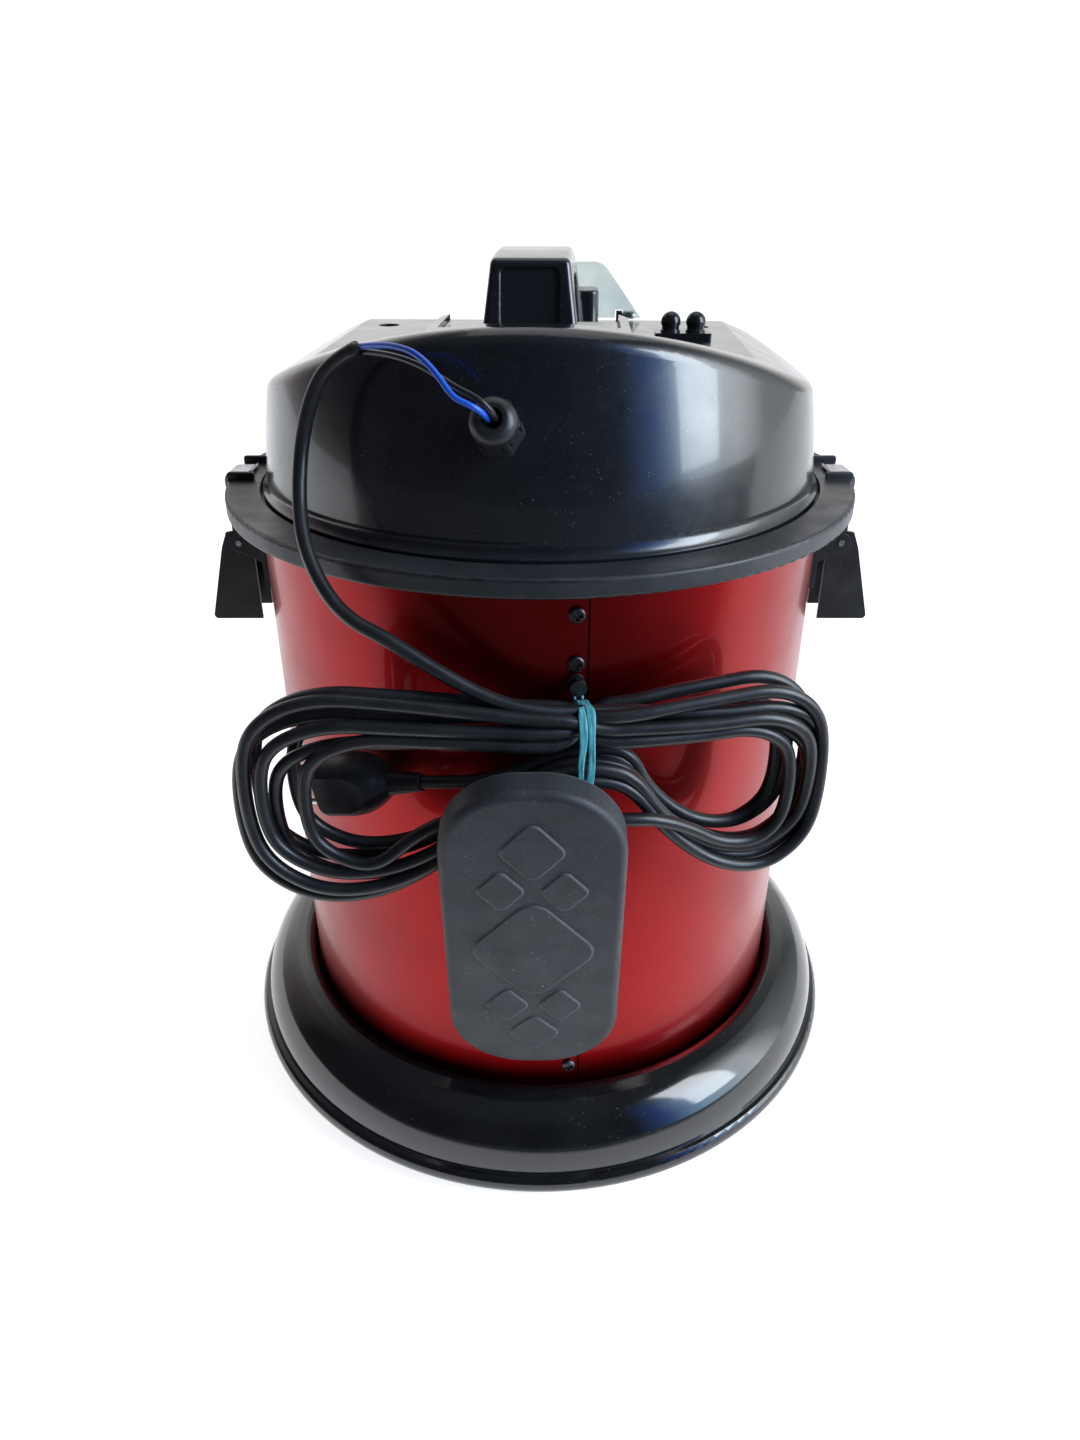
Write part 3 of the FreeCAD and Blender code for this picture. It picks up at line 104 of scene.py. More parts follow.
def smooth_line(points):
    """The points that a curve with these control points passes through, in metres."""
    bare = nurbs(points)
    mesh = bpy.data.meshes.new_from_object(bare)
    line = [v.co.copy() for v in mesh.vertices]
    bpy.data.meshes.remove(mesh)
    bpy.data.curves.remove(bare.data)
    return line


def mesh_object(name, bm, smooth=True):
    mesh = bpy.data.meshes.new(name)
    bm.normal_update()
    bm.to_mesh(mesh)
    bm.free()
    for face in mesh.polygons:
        face.use_smooth = smooth
    return link(bpy.data.objects.new(name, mesh))


def frames(line):
    """A side vector and an up vector at each point, turning as little as they can."""
    count = len(line)
    side = None
    found = []
    for i in range(count):
        ahead = (line[min(i + 1, count - 1)] - line[max(i - 1, 0)]).normalized()
        if side is None:
            side = ahead.orthogonal().normalized()
        side = (side - ahead * side.dot(ahead)).normalized()
        found.append((side.copy(), ahead.cross(side).normalized()))
    return found


def tube(name, line, radius, sides=18):
    """Closed round tube along a line, with flat ends; radius is a number or one per point."""
    bm = bmesh.new()
    rings = []
    for i, (point, (side, up)) in enumerate(zip(line, frames(line))):
        r = radius[i] if isinstance(radius, list) else radius
        ring = []
        for k in range(sides):
            a = 2 * math.pi * k / sides
            ring.append(bm.verts.new(point + side * (r * math.cos(a)) + up * (r * math.sin(a))))
        rings.append(ring)
    for lower, upper in zip(rings, rings[1:]):
        for k in range(sides):
            n = (k + 1) % sides
            bm.faces.new((lower[k], lower[n], upper[n], upper[k]))
    bm.faces.new(list(reversed(rings[0])))
    bm.faces.new(rings[-1])
    return mesh_object(name, bm)


# ---- the lead: routes -------------------------------------------------------------------
CORD_D = 6.3
CORD_ROUTE = [
    (-88.7, -116.3, 437.0),
    (-100.4, -109.8, 431.0),
    (-109.2, -106.4, 417.5),
    (-115.2, -105.0, 399.5),
    (-118.3, -110.0, 380.0),
    (-117.6, -126.0, 363.0),
    (-111.0, -138.0, 346.5),
    (-100.5, -146.0, 334.0),
    (-84.0, -153.5, 327.0),
    (-65.5, -159.0, 314.5),
    (-45.0, -164.0, 302.5),
    (-24.0, -167.0, 295.5),
]
CORE_D = 2.4
CORE_BLUE_ROUTE = [
    (-87.6, -117.8, 438.0),
    (-81.4, -126.0, 439.8),
    (-73.4, -136.5, 440.7),
    (-66.8, -145.4, 439.7),
    (-61.4, -152.1, 436.0),
    (-57.5, -157.0, 431.6),
    (-53.6, -161.4, 426.0),
    (-47.8, -163.3, 423.6),
    (-44.0, -162.5, 421.3),
    (-41.5, -159.9, 418.8),
    (-40.1, -155.0, 416.2),
]
CORE_BLACK_ROUTE = [
    (-86.7, -116.0, 435.9),
    (-79.9, -125.4, 436.6),
    (-71.3, -136.5, 436.3),
    (-63.4, -145.9, 434.4),
    (-57.3, -153.4, 431.5),
    (-51.4, -158.3, 428.5),
    (-45.6, -161.0, 426.0),
    (-41.4, -161.9, 423.0),
    (-38.4, -160.1, 419.0),
    (-37.1, -154.3, 415.5),
]

# The hank is tied at its waist, where every strand has a place in three columns.
WAIST = (-3.0, -164.4, 277.0)
# Each turn: column at the waist (-1 is in front), rank (0 is outermost),
# left end x, top z, bottom z, lean, right end x, top z, bottom z, lean.
TURNS = [
    (0, 0, -155, 292, 197, 1.5, 114, 287, 196, -1.5),
    (-1, 0, -151, 303, 205, 1.0, 111, 296, 204, 1.5),
    (-1, 1, -144, 291, 214, 0.5, 105, 285, 213, -1.0),
    (0, 1, -139, 281, 207, -1.5, 108, 276, 206, 1.5),
    (-1, 2, -125, 284, 219, 1.0, 95, 279, 215, 0.5),
    (1, 0, -147, 302, 213, -1.0, 107, 298, 211, 1.0),
    (1, 1, -130, 294, 223, 1.0, 97, 288, 220, -1.0),
    (1, 2, -112, 285, 232, 0.0, 92, 286, 222, 0.0),
]


def lobe(turn, side):
    """Control points round one lobe of a turn, from its upper place at the waist to its lower one."""
    column, rank = TURNS[turn][:2]
    end, top, bottom, lean = TURNS[turn][2:6] if side < 0 else TURNS[turn][6:10]
    x0, y0, z0 = WAIST
    reach = abs(end - x0)
    y_place = y0 + column * CORD_D
    step = (2.5 - rank) * CORD_D
    upper, lower = z0 + step, z0 - step
    middle = (top + bottom) / 2

    def at(share, z, away=1.0):
        x = x0 + side * reach * share
        back = 18.0 * ((x - x0) / 150.0) ** 2
        tilt = lean * (z - middle) / 25.0
        return (x, y_place + back + tilt * away, z)

    return [
        (x0 + side * 8, y_place, upper),
        (x0 + side * 23, y_place, upper + 0.10 * (top - upper)),
        at(0.34, upper + 0.52 * (top - upper), 0.4),
        at(0.56, top - 0.10 * (top - upper)),
        at(0.78, top + 1.0),
        at(0.94, top - 0.20 * (top - middle)),
        at(1.01, middle + 0.42 * (top - middle)),
        at(1.01, middle - 0.42 * (middle - bottom)),
        at(0.94, bottom + 0.20 * (middle - bottom)),
        at(0.78, bottom - 1.0),
        at(0.56, bottom + 0.10 * (lower - bottom)),
        at(0.34, lower - 0.52 * (lower - bottom), 0.4),
        (x0 + side * 23, y_place, lower - 0.10 * (lower - bottom)),
        (x0 + side * 8, y_place, lower),
    ]


BUSH_RIGHT = (5.0, -174.9, 242.9)
BUSH_LEFT = (-56.4, -166.2, 242.9)
PLUG_BOOT = (-74.1, -143.5, 249.7)


INTO_SWITCH = [
    (78.0, -165.5, 217.0),
    (62.0, -168.0, 221.0),
    (46.0, -171.5, 233.0),
    (30.0, -175.0, 241.0),
    (17.0, -176.6, 243.0),
    BUSH_RIGHT,
    (0.0, -174.2, 242.9),
]
OUT_OF_SWITCH = [
    (-51.5, -166.9, 242.9),
    BUSH_LEFT,
    (-67.0, -165.3, 241.0),
    (-80.0, -165.3, 234.0),
]
TO_PLUG = [
    (2.0, -158.3, 271.0),
    (-20.0, -159.5, 266.5),
    (-34.0, -158.5, 260.5),
    (-50.0, -155.3, 255.4),
    (-62.0, -149.4, 252.6),
    PLUG_BOOT,
    (-79.3, -141.0, 248.4),
]


def lead_points():
    """From the sheath's cut end down to the tie, round the first turns and into the foot switch."""
    points = list(CORD_ROUTE)
    for turn in range(4):
        points += lobe(turn, 1)
        points += reversed(lobe(turn, -1))
    points += lobe(4, 1)[:-5]
    points += INTO_SWITCH
    return points


def tail_points():
    """From the foot switch round the rest of the hank to the plug."""
    points = list(OUT_OF_SWITCH)
    points += reversed(lobe(4, -1)[:-4])
    for turn in (5, 6):
        points += lobe(turn, 1)
        points += reversed(lobe(turn, -1))
    points += lobe(7, 1)[:-1]
    points += TO_PLUG
    return points


lead_line = smooth_line(lead_points())
tail_line = smooth_line(tail_points())
lead = tube("mains_lead", lead_line, CORD_D / 2 * MM)
tail = tube("plug_lead", tail_line, CORD_D / 2 * MM)


blue_line = smooth_line(list(reversed(CORE_BLUE_ROUTE)))
black_line = smooth_line(list(reversed(CORE_BLACK_ROUTE)))
core_blue = tube("blue_core", blue_line, CORE_D / 2 * MM, 14)
core_black = tube("black_core", black_line, CORE_D / 2 * MM, 14)

# ---- tie: two thin plastic bands round the waist and over the stud -----------------------
STUD = (-4.0, -156.0, 301.5)
TIE_MIDDLE = (-164.6, 276.0)
TIE_HALF = (11.9, 20.2)
TIE_SQUARENESS = 3.2
TIE_STEPS = 72
TIE_THICK = 0.35
EYE_R = 3.0
EYE_CORD_R = 0.7


def band(name, x_mid, x_sway, half_w, seed):
    """Thin strip round the bundle, a little crumpled, drawn as a closed ribbon with thickness."""
    bm = bmesh.new()
    rings = []
    for i in range(TIE_STEPS):
        a = 2 * math.pi * i / TIE_STEPS
        ca, sa = math.cos(a), math.sin(a)
        flat = (abs(ca) ** TIE_SQUARENESS + abs(sa) ** TIE_SQUARENESS) ** (-1 / TIE_SQUARENESS)
        y = TIE_MIDDLE[0] + TIE_HALF[0] * flat * ca
        z = TIE_MIDDLE[1] + TIE_HALF[1] * flat * sa
        sway = x_sway * math.sin(a + seed) + 0.25 * math.sin(5 * a + 2 * seed)
        width = half_w * (1 + 0.16 * math.sin(3 * a + seed))
        fold = 0.22 * math.sin(7 * a + seed)
        out = Vector((0, ca, sa)).normalized()
        row = []
        for across, lift in ((-1, 0.0), (-0.45, 0.25 + fold), (0.1, 0.0), (0.55, 0.3 - fold), (1, 0.0)):
            centre = Vector((x_mid + sway + across * width, y, z)) + out * lift
            row.append(bm.verts.new(centre * MM))
        rings.append(row)
    for i in range(TIE_STEPS):
        lower, upper = rings[i], rings[(i + 1) % TIE_STEPS]
        for k in range(len(lower) - 1):
            bm.faces.new((lower[k], lower[k + 1], upper[k + 1], upper[k]))
    obj = mesh_object(name, bm)
    solid = obj.modifiers.new("thickness", "SOLIDIFY")
    solid.thickness = TIE_THICK * MM
    solid.offset = 0.0
    smooth = obj.modifiers.new("smooth", "SUBSURF")
    smooth.levels = 1
    smooth.render_levels = 1
    return obj


tie_bands = [band("tie_band_front", -4.6, 0.7, 1.6, 0.4), band("tie_band_back", -1.4, -0.8, 1.8, 2.1)]
eye_points = [(-2.0, -157.8, 295.9)]
for i in range(9):
    a = math.radians(-60 + 37.5 * i)
    eye_points.append((STUD[0] + EYE_R * math.cos(a), STUD[1] - 0.6, STUD[2] + EYE_R * math.sin(a)))
eye_points.append((-5.4, -157.6, 295.9))
tie_eye = tube("tie_eye", smooth_line(eye_points), EYE_CORD_R * MM, 10)
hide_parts("cord_tie")

for piece in tie_bands + [tie_eye]:
    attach(piece, "drum")

# ---- sheath end -----------------------------------------------------------------------


def sheath_tip():
    """Cut end of the outer sheath, torn to a point on one side."""
    ahead = (lead_line[0] - lead_line[2]).normalized()
    side = ahead.orthogonal().normalized()
    up = ahead.cross(side).normalized()
    bm = bmesh.new()
    count = 24
    outer, rim, inner = [], [], []
    for k in range(count):
        a = 2 * math.pi * k / count
        d = side * math.cos(a) + up * math.sin(a)
        reach = 0.6 + 3.4 * max(0.0, math.cos(a - 2.2)) ** 3 + 0.25 * math.sin(5 * a)
        start = lead_line[0] - ahead * 0.0015
        outer.append(bm.verts.new(start + d * 3.22 * MM))
        rim.append(bm.verts.new(lead_line[0] + ahead * reach * MM + d * 2.9 * MM))
        inner.append(bm.verts.new(lead_line[0] + ahead * (reach - 0.2) * MM + d * 2.3 * MM))
    for k in range(count):
        n = (k + 1) % count
        bm.faces.new((outer[k], outer[n], rim[n], rim[k]))
        bm.faces.new((rim[k], rim[n], inner[n], inner[k]))
    return mesh_object("sheath_tip", bm)


tip = sheath_tip()
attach(tip, "head")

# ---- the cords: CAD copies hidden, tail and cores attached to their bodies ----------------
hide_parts("cord_drop", "cord_hank")
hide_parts("cord_hank")
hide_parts("core_blue")
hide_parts("core_black")
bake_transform(lead)
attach(tail, "drum")
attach(core_blue, "head")
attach(core_black, "head")

# ---- materials ------------------------------------------------------------------------------


class Nodes:
    """Short way to lay out a material's nodes."""

    def __init__(self, name):
        self.material = bpy.data.materials.new(name)
        self.material.use_nodes = True
        self.tree = self.material.node_tree
        self.tree.nodes.clear()
        self.output = self.add("ShaderNodeOutputMaterial")
        self.shader = self.add("ShaderNodeBsdfPrincipled")
        self.join(self.shader, "BSDF", self.output, "Surface")
        self.place = self.add("ShaderNodeTexCoord")

    def add(self, kind, **values):
        node = self.tree.nodes.new(kind)
        for key, value in values.items():
            setattr(node, key, value)
        return node

    def join(self, a, out, b, into):
        self.tree.links.new(a.outputs[out], b.inputs[into])

    def noise(self, scale, detail=3.0, roughness=0.55, stretch=None):
        node = self.add("ShaderNodeTexNoise")
        node.inputs["Scale"].default_value = scale
        node.inputs["Detail"].default_value = detail
        node.inputs["Roughness"].default_value = roughness
        if stretch:
            scaled = self.add("ShaderNodeMapping")
            scaled.inputs["Scale"].default_value = stretch
            self.join(self.place, "Object", scaled, "Vector")
            self.join(scaled, "Vector", node, "Vector")
        else:
            self.join(self.place, "Object", node, "Vector")
        return node

    def ramp(self, source, out, stops):
        node = self.add("ShaderNodeValToRGB")
        node.color_ramp.elements.remove(node.color_ramp.elements[1])
        first = node.color_ramp.elements[0]
        first.position, first.color = stops[0][0], grey(stops[0][1])
        for position, value in stops[1:]:
            element = node.color_ramp.elements.new(position)
            element.color = grey(value)
        self.join(source, out, node, "Fac")
        return node

    def mix(self, factor, a, b):
        """Mix of two colours, each a tuple or a (node, output)."""
        node = self.add("ShaderNodeMix", data_type="RGBA")
        if isinstance(factor, float):
            node.inputs[0].default_value = factor
        else:
            self.tree.links.new(factor[0].outputs[factor[1]], node.inputs[0])
        for slot, value in ((6, a), (7, b)):
            if isinstance(value[0], bpy.types.Node):
                self.tree.links.new(value[0].outputs[value[1]], node.inputs[slot])
            else:
                node.inputs[slot].default_value = grey(value)
        return node

    def number(self, operation, a, b):
        node = self.add("ShaderNodeMath", operation=operation)
        for slot, value in enumerate((a, b)):
            if isinstance(value, (int, float)):
                node.inputs[slot].default_value = value
            else:
                self.tree.links.new(value[0].outputs[value[1]], node.inputs[slot])
        return node

    def bump(self, source, out, distance, strength=1.0, after=None):
        node = self.add("ShaderNodeBump")
        node.inputs["Distance"].default_value = distance
        node.inputs["Strength"].default_value = strength
        self.join(source, out, node, "Height")
        if after:
            self.join(after, "Normal", node, "Normal")
        self.join(node, "Normal", self.shader, "Normal")
        return node

    def set(self, **values):
        for key, value in values.items():
            self.shader.inputs[key.replace("_", " ")].default_value = value


def grey(value):
    if isinstance(value, (int, float)):
        return (value, value, value, 1.0)
    return tuple(value)[:3] + (1.0,)


def plastic(name, colour, rough, grain=0.0, grain_scale=2500.0, dust=0.0, scuff=0.0, coat=0.0, round_edge=0.0,
            wave=0.0, spec=0.5, dust_colour=(0.42, 0.41, 0.39)):
    """Moulded plastic: mottled colour, uneven gloss, fine grain, dust specks and rubbed patches."""
    m = Nodes(name)
    m.set(Specular_IOR_Level=spec, Coat_Weight=coat, Coat_Roughness=0.06)
    mottle = m.ramp(m.noise(38.0, 4.0), "Fac", [(0.3, 0.0), (0.7, 1.0)])
    darker = tuple(c * 0.78 for c in colour)
    lighter = tuple(min(1.0, c * 1.25 + 0.002) for c in colour)
    shade = m.mix((mottle, "Color"), darker, lighter)
    if scuff:
        rub = m.ramp(m.noise(90.0, 6.0, 0.7, (1.0, 1.0, 5.0)), "Fac", [(0.55, 0.0), (0.75, scuff)])
        shade = m.mix((rub, "Color"), (shade, 2), tuple(c * 1.6 + 0.06 for c in colour))
    if dust:
        speck = m.ramp(m.noise(1500.0, 1.0), "Fac", [(0.755 - 0.03 * dust, 0.0), (0.80, 0.75)])
        patch = m.ramp(m.noise(22.0, 2.0), "Fac", [(0.42, 0.15), (0.62, 1.0)])
        both = m.number("MULTIPLY", (speck, "Color"), (patch, "Color"))
        shade = m.mix((both, "Value"), (shade, 2), dust_colour)
    m.join(shade, 2, m.shader, "Base Color")
    smoother, rougher = max(0.02, rough * 0.8), min(1.0, rough * 1.25)
    gloss = m.ramp(m.noise(60.0, 5.0, 0.6), "Fac", [(0.3, smoother), (0.7, rougher)])
    m.join(gloss, "Color", m.shader, "Roughness")
    last = None
    if round_edge:
        last = m.add("ShaderNodeBevel", samples=4)
        last.inputs["Radius"].default_value = round_edge * MM
        m.join(last, "Normal", m.shader, "Normal")
    if wave:
        last = m.bump(m.noise(16.0, 1.0), "Fac", wave * MM, 1.0, last)
    if grain:
        m.bump(m.noise(grain_scale, 2.0), "Fac", grain * MM, 1.0, last)
    return m.material


def metal(name, colour, rough, grain=0.01, grain_scale=900.0, stretch=(1.0, 1.0, 1.0), round_edge=0.25):
    m = Nodes(name)
    m.set(Metallic=1.0)
    stain = m.ramp(m.noise(55.0, 5.0), "Fac", [(0.3, 0.0), (0.7, 1.0)])
    shade = m.mix((stain, "Color"), tuple(c * 0.72 for c in colour), colour)
    m.join(shade, 2, m.shader, "Base Color")
    gloss = m.ramp(m.noise(240.0, 4.0, 0.6, stretch), "Fac", [(0.3, rough * 0.7), (0.7, rough * 1.4)])
    m.join(gloss, "Color", m.shader, "Roughness")
    edge = m.add("ShaderNodeBevel", samples=4)
    edge.inputs["Radius"].default_value = round_edge * MM
    m.bump(m.noise(grain_scale, 2.0, 0.5, stretch), "Fac", grain * MM, 1.0, edge)
    return m.material


SEAM_X = 1.7


def drum_paint():
    """Metallic red enamel over sheet steel: fine flakes, faint dents and small chips under a clear coat."""
    m = Nodes("drum_paint")
    m.set(Metallic=1.0, Coat_Weight=0.25, Coat_Roughness=0.05, Coat_IOR=1.5)
    tone = m.ramp(m.noise(9.0, 3.0), "Fac", [(0.35, 0.0), (0.65, 1.0)])
    red = m.mix((tone, "Color"), (0.20, 0.0015, 0.003), (0.28, 0.002, 0.004))
    flake = m.ramp(m.noise(5200.0, 1.0), "Fac", [(0.50, 0.0), (0.68, 0.55)])
    red = m.mix((flake, "Color"), (red, 2), (0.60, 0.018, 0.015))
    chip = m.ramp(m.noise(420.0, 2.0), "Fac", [(0.765, 0.0), (0.785, 0.8)])
    red = m.mix((chip, "Color"), (red, 2), (0.10, 0.02, 0.02))
    parts = m.add("ShaderNodeSeparateXYZ")
    m.join(m.place, "Object", parts, 0)
    off = m.number("ABSOLUTE", (m.number("SUBTRACT", (parts, "X"), SEAM_X * MM), "Value"), 0.0)
    line = m.number("LESS_THAN", (off, "Value"), 0.45 * MM)
    front = m.number("LESS_THAN", (parts, "Y"), 0.0)
    seam = m.number("MULTIPLY", (line, "Value"), (front, "Value"))
    red = m.mix((seam, "Value"), (red, 2), (0.012, 0.002, 0.002))
    m.join(red, 2, m.shader, "Base Color")
    gloss = m.ramp(m.noise(30.0, 4.0), "Fac", [(0.3, 0.30), (0.7, 0.40)])
    m.join(gloss, "Color", m.shader, "Roughness")
    dent = m.bump(m.noise(7.0, 1.0, 0.5, (1.0, 1.0, 0.6)), "Fac", 0.9 * MM, 1.0)
    m.bump(m.noise(5200.0, 1.0), "Fac", 0.004 * MM, 1.0, dent)
    return m.material


def dome_plastic():
    """Glossy moulded cover: near-black, gently uneven, with dust that has settled in specks."""
    return plastic("dome_plastic", (0.007, 0.009, 0.012), 0.22, grain=0.004, grain_scale=3500.0, dust=1.0,
                   scuff=0.08, round_edge=0.8, wave=0.6, spec=0.6, coat=0.5)


def pedal_rubber(name):
    """Textured foot-switch plastic with grit, scratches and pale edges: a painted highlight along every
    rounded edge, partly standing for rubbed wear.
    """
    m = Nodes(name)
    m.set(Specular_IOR_Level=0.4)
    mottle = m.ramp(m.noise(45.0, 5.0, 0.65), "Fac", [(0.3, 0.0), (0.7, 1.0)])
    shade = m.mix((mottle, "Color"), (0.021, 0.023, 0.027), (0.042, 0.045, 0.052))
    grit = m.ramp(m.noise(2100.0, 2.0), "Fac", [(0.60, 0.0), (0.74, 0.50)])
    shade = m.mix((grit, "Color"), (shade, 2), (0.20, 0.20, 0.21))
    lint = m.ramp(m.noise(650.0, 2.0, 0.5), "Fac", [(0.73, 0.0), (0.78, 0.85)])
    shade = m.mix((lint, "Color"), (shade, 2), (0.45, 0.44, 0.40))
    rounded_edge_normal = m.add("ShaderNodeBevel", samples=6)
    rounded_edge_normal.inputs["Radius"].default_value = 1.3 * MM
    plain = m.add("ShaderNodeNewGeometry")
    bend = m.add("ShaderNodeVectorMath", operation="DOT_PRODUCT")
    m.join(rounded_edge_normal, "Normal", bend, 0)
    m.join(plain, "Normal", bend, 1)
    # Pale band where the rounded-edge normal turns away from the flat face: a painted highlight on the edges,
    # partly also rubbed wear.
    edge = m.ramp(bend, "Value", [(0.93, 0.9), (0.998, 0.0)])
    shade = m.mix((edge, "Color"), (shade, 2), (0.16, 0.17, 0.19))
    m.join(shade, 2, m.shader, "Base Color")
    gloss = m.ramp(m.noise(70.0, 4.0), "Fac", [(0.3, 0.42), (0.7, 0.60)])
    m.join(gloss, "Color", m.shader, "Roughness")
    m.bump(m.noise(1700.0, 2.0, 0.6), "Fac", 0.10 * MM, 1.0, rounded_edge_normal)
    return m.material


def cable_jacket():
    """Black PVC jacket: soft sheen, handling marks and a little dust."""
    m = Nodes("cable_jacket")
    m.set(Specular_IOR_Level=0.5)
    mottle = m.ramp(m.noise(60.0, 4.0), "Fac", [(0.3, 0.0), (0.7, 1.0)])
    shade = m.mix((mottle, "Color"), (0.009, 0.010, 0.012), (0.020, 0.021, 0.023))
    rub = m.ramp(m.noise(700.0, 4.0, 0.7), "Fac", [(0.60, 0.0), (0.72, 0.35)])
    patch = m.ramp(m.noise(28.0, 2.0), "Fac", [(0.46, 0.0), (0.60, 1.0)])
    both = m.number("MULTIPLY", (rub, "Color"), (patch, "Color"))
    shade = m.mix((both, "Value"), (shade, 2), (0.16, 0.16, 0.155))
    m.join(shade, 2, m.shader, "Base Color")
    gloss = m.ramp(m.noise(90.0, 5.0, 0.65), "Fac", [(0.3, 0.26), (0.7, 0.44)])
    m.join(gloss, "Color", m.shader, "Roughness")
    m.bump(m.noise(420.0, 3.0, 0.6), "Fac", 0.05 * MM)
    return m.material


def clear_plastic():
    m = Nodes("clear_flap_plastic")
    m.set(Roughness=0.12, IOR=1.46, Transmission_Weight=0.92)
    haze = m.ramp(m.noise(45.0, 4.0), "Fac", [(0.35, 0.0), (0.7, 1.0)])
    shade = m.mix((haze, "Color"), (0.48, 0.56, 0.55), (0.66, 0.72, 0.70))
    m.join(shade, 2, m.shader, "Base Color")
    gloss = m.ramp(m.noise(110.0, 4.0), "Fac", [(0.3, 0.08), (0.7, 0.22)])
    m.join(gloss, "Color", m.shader, "Roughness")
    return m.material


def tie_plastic():
    m = Nodes("tie_plastic")
    m.set(Roughness=0.35, Subsurface_Weight=0.15, Subsurface_Scale=0.002)
    streak = m.ramp(m.noise(420.0, 4.0, 0.6, (3.0, 0.4, 0.4)), "Fac", [(0.35, 0.0), (0.65, 1.0)])
    shade = m.mix((streak, "Color"), (0.045, 0.30, 0.36), (0.16, 0.55, 0.60))
    m.join(shade, 2, m.shader, "Base Color")
    gloss = m.ramp(m.noise(300.0, 3.0), "Fac", [(0.3, 0.25), (0.7, 0.5)])
    m.join(gloss, "Color", m.shader, "Roughness")
    m.bump(m.noise(900.0, 3.0, 0.6, (3.0, 0.6, 0.6)), "Fac", 0.15 * MM)
    return m.material


def felt():
    m = Nodes("filter_felt")
    m.set(Roughness=0.95, Specular_IOR_Level=0.15, Sheen_Weight=0.5, Sheen_Roughness=0.6)
    fibre = m.ramp(m.noise(1300.0, 5.0, 0.75), "Fac", [(0.3, 0.0), (0.7, 1.0)])
    shade = m.mix((fibre, "Color"), (0.48, 0.47, 0.43), (0.74, 0.73, 0.69))
    grime = m.ramp(m.noise(24.0, 4.0), "Fac", [(0.45, 0.0), (0.75, 0.6)])
    shade = m.mix((grime, "Color"), (shade, 2), (0.30, 0.27, 0.23))
    m.join(shade, 2, m.shader, "Base Color")
    m.bump(m.noise(1600.0, 5.0, 0.8), "Fac", 0.35 * MM)
    return m.material


def all_materials():
    """One material for each of the record's slots."""
    return {
        "drum_red": drum_paint(),
        "pan_steel": metal("pan_steel", (0.45, 0.45, 0.46), 0.38),
        "base_black": plastic("base_gloss", (0.006, 0.007, 0.008), 0.10, grain=0.003, dust=0.5, wave=0.9,
                              round_edge=0.5, spec=0.6, coat=0.4),
        "plate_black": plastic("plate_black", (0.028, 0.028, 0.030), 0.55, grain=0.05, dust=0.6,
                               round_edge=0.4),
        "cover_black": dome_plastic(),
        "flange_black": plastic("flange_black", (0.026, 0.028, 0.032), 0.40, grain=0.03,
                                grain_scale=1600.0, dust=0.8, scuff=0.30, round_edge=0.8),
        "latch_black": plastic("latch_black", (0.014, 0.015, 0.017), 0.38, grain=0.03, dust=0.5, scuff=0.15,
                               round_edge=0.6),
        "strap_steel": metal("strap_steel", (0.56, 0.57, 0.60), 0.28, stretch=(1.0, 1.0, 0.1)),
        "screw_zinc": metal("screw_zinc", (0.10, 0.10, 0.11), 0.34),
        "clear_smoke": clear_plastic(),
        "gland_black": plastic("gland_black", (0.013, 0.014, 0.016), 0.36, grain=0.03, dust=0.8, scuff=0.15,
                               round_edge=0.5),
        "rubber_black": plastic("rubber_black", (0.016, 0.016, 0.017), 0.70, grain=0.05, round_edge=0.3),
        "cable_black": cable_jacket(),
        "core_blue": plastic("core_blue_pvc", (0.010, 0.105, 0.62), 0.30, grain=0.02, grain_scale=1500.0),
        "core_black": plastic("core_black_pvc", (0.010, 0.010, 0.012), 0.32, grain=0.02, grain_scale=1500.0),
        "tie_teal": tie_plastic(),
        "pedal_black": pedal_rubber("pedal_rubber"),
        "spring_steel": metal("spring_steel", (0.5, 0.5, 0.5), 0.3),
        "pin_nickel": metal("pin_nickel", (0.72, 0.69, 0.64), 0.18, grain=0.004),
        "wheel_grey": plastic("wheel_grey", (0.045, 0.046, 0.050), 0.48, grain=0.04, dust=1.0, scuff=0.3,
                              round_edge=0.5),
        "motor_steel": metal("motor_steel", (0.5, 0.5, 0.52), 0.36),
        "motor_copper": metal("motor_copper", (0.56, 0.27, 0.13), 0.36, grain=0.05, stretch=(1.0, 1.0, 6.0)),
        "fan_aluminium": metal("fan_aluminium", (0.70, 0.70, 0.72), 0.30),
        "filter_cloth": felt(),
        "rocker_red": plastic("rocker_red", (0.42, 0.012, 0.012), 0.22, grain=0.01, round_edge=0.5, coat=0.3),
        "clip_black": plastic("clip_black", (0.010, 0.011, 0.013), 0.14, grain=0.004, dust=0.6,
                              round_edge=0.4),
    }


MATERIALS = all_materials()


def finish_with(obj, slot):
    """Give an object the material that stands for a slot of the record."""
    obj.data.materials.clear()
    obj.data.materials.append(MATERIALS[slot])


for part in frame["record"]["subparts"]:
    node = NODES[part["node"]]
    if not node.material_slots:
        node.data.materials.append(MATERIALS[part["material_slot"]])
    for place in node.material_slots:
        place.material = MATERIALS[part["material_slot"]]

PIECE_SLOTS = (
    (lead, "cable_black"),
    (tail, "cable_black"),
    (tip, "cable_black"),
    (core_blue, "core_blue"),
    (core_black, "core_black"),
    (tie_eye, "tie_teal"),
    (tie_bands[0], "tie_teal"),
    (tie_bands[1], "tie_teal"),
)
for piece, slot in PIECE_SLOTS:
    finish_with(piece, slot)

# ---- felt sleeve over the intake ------------------------------------------------------------


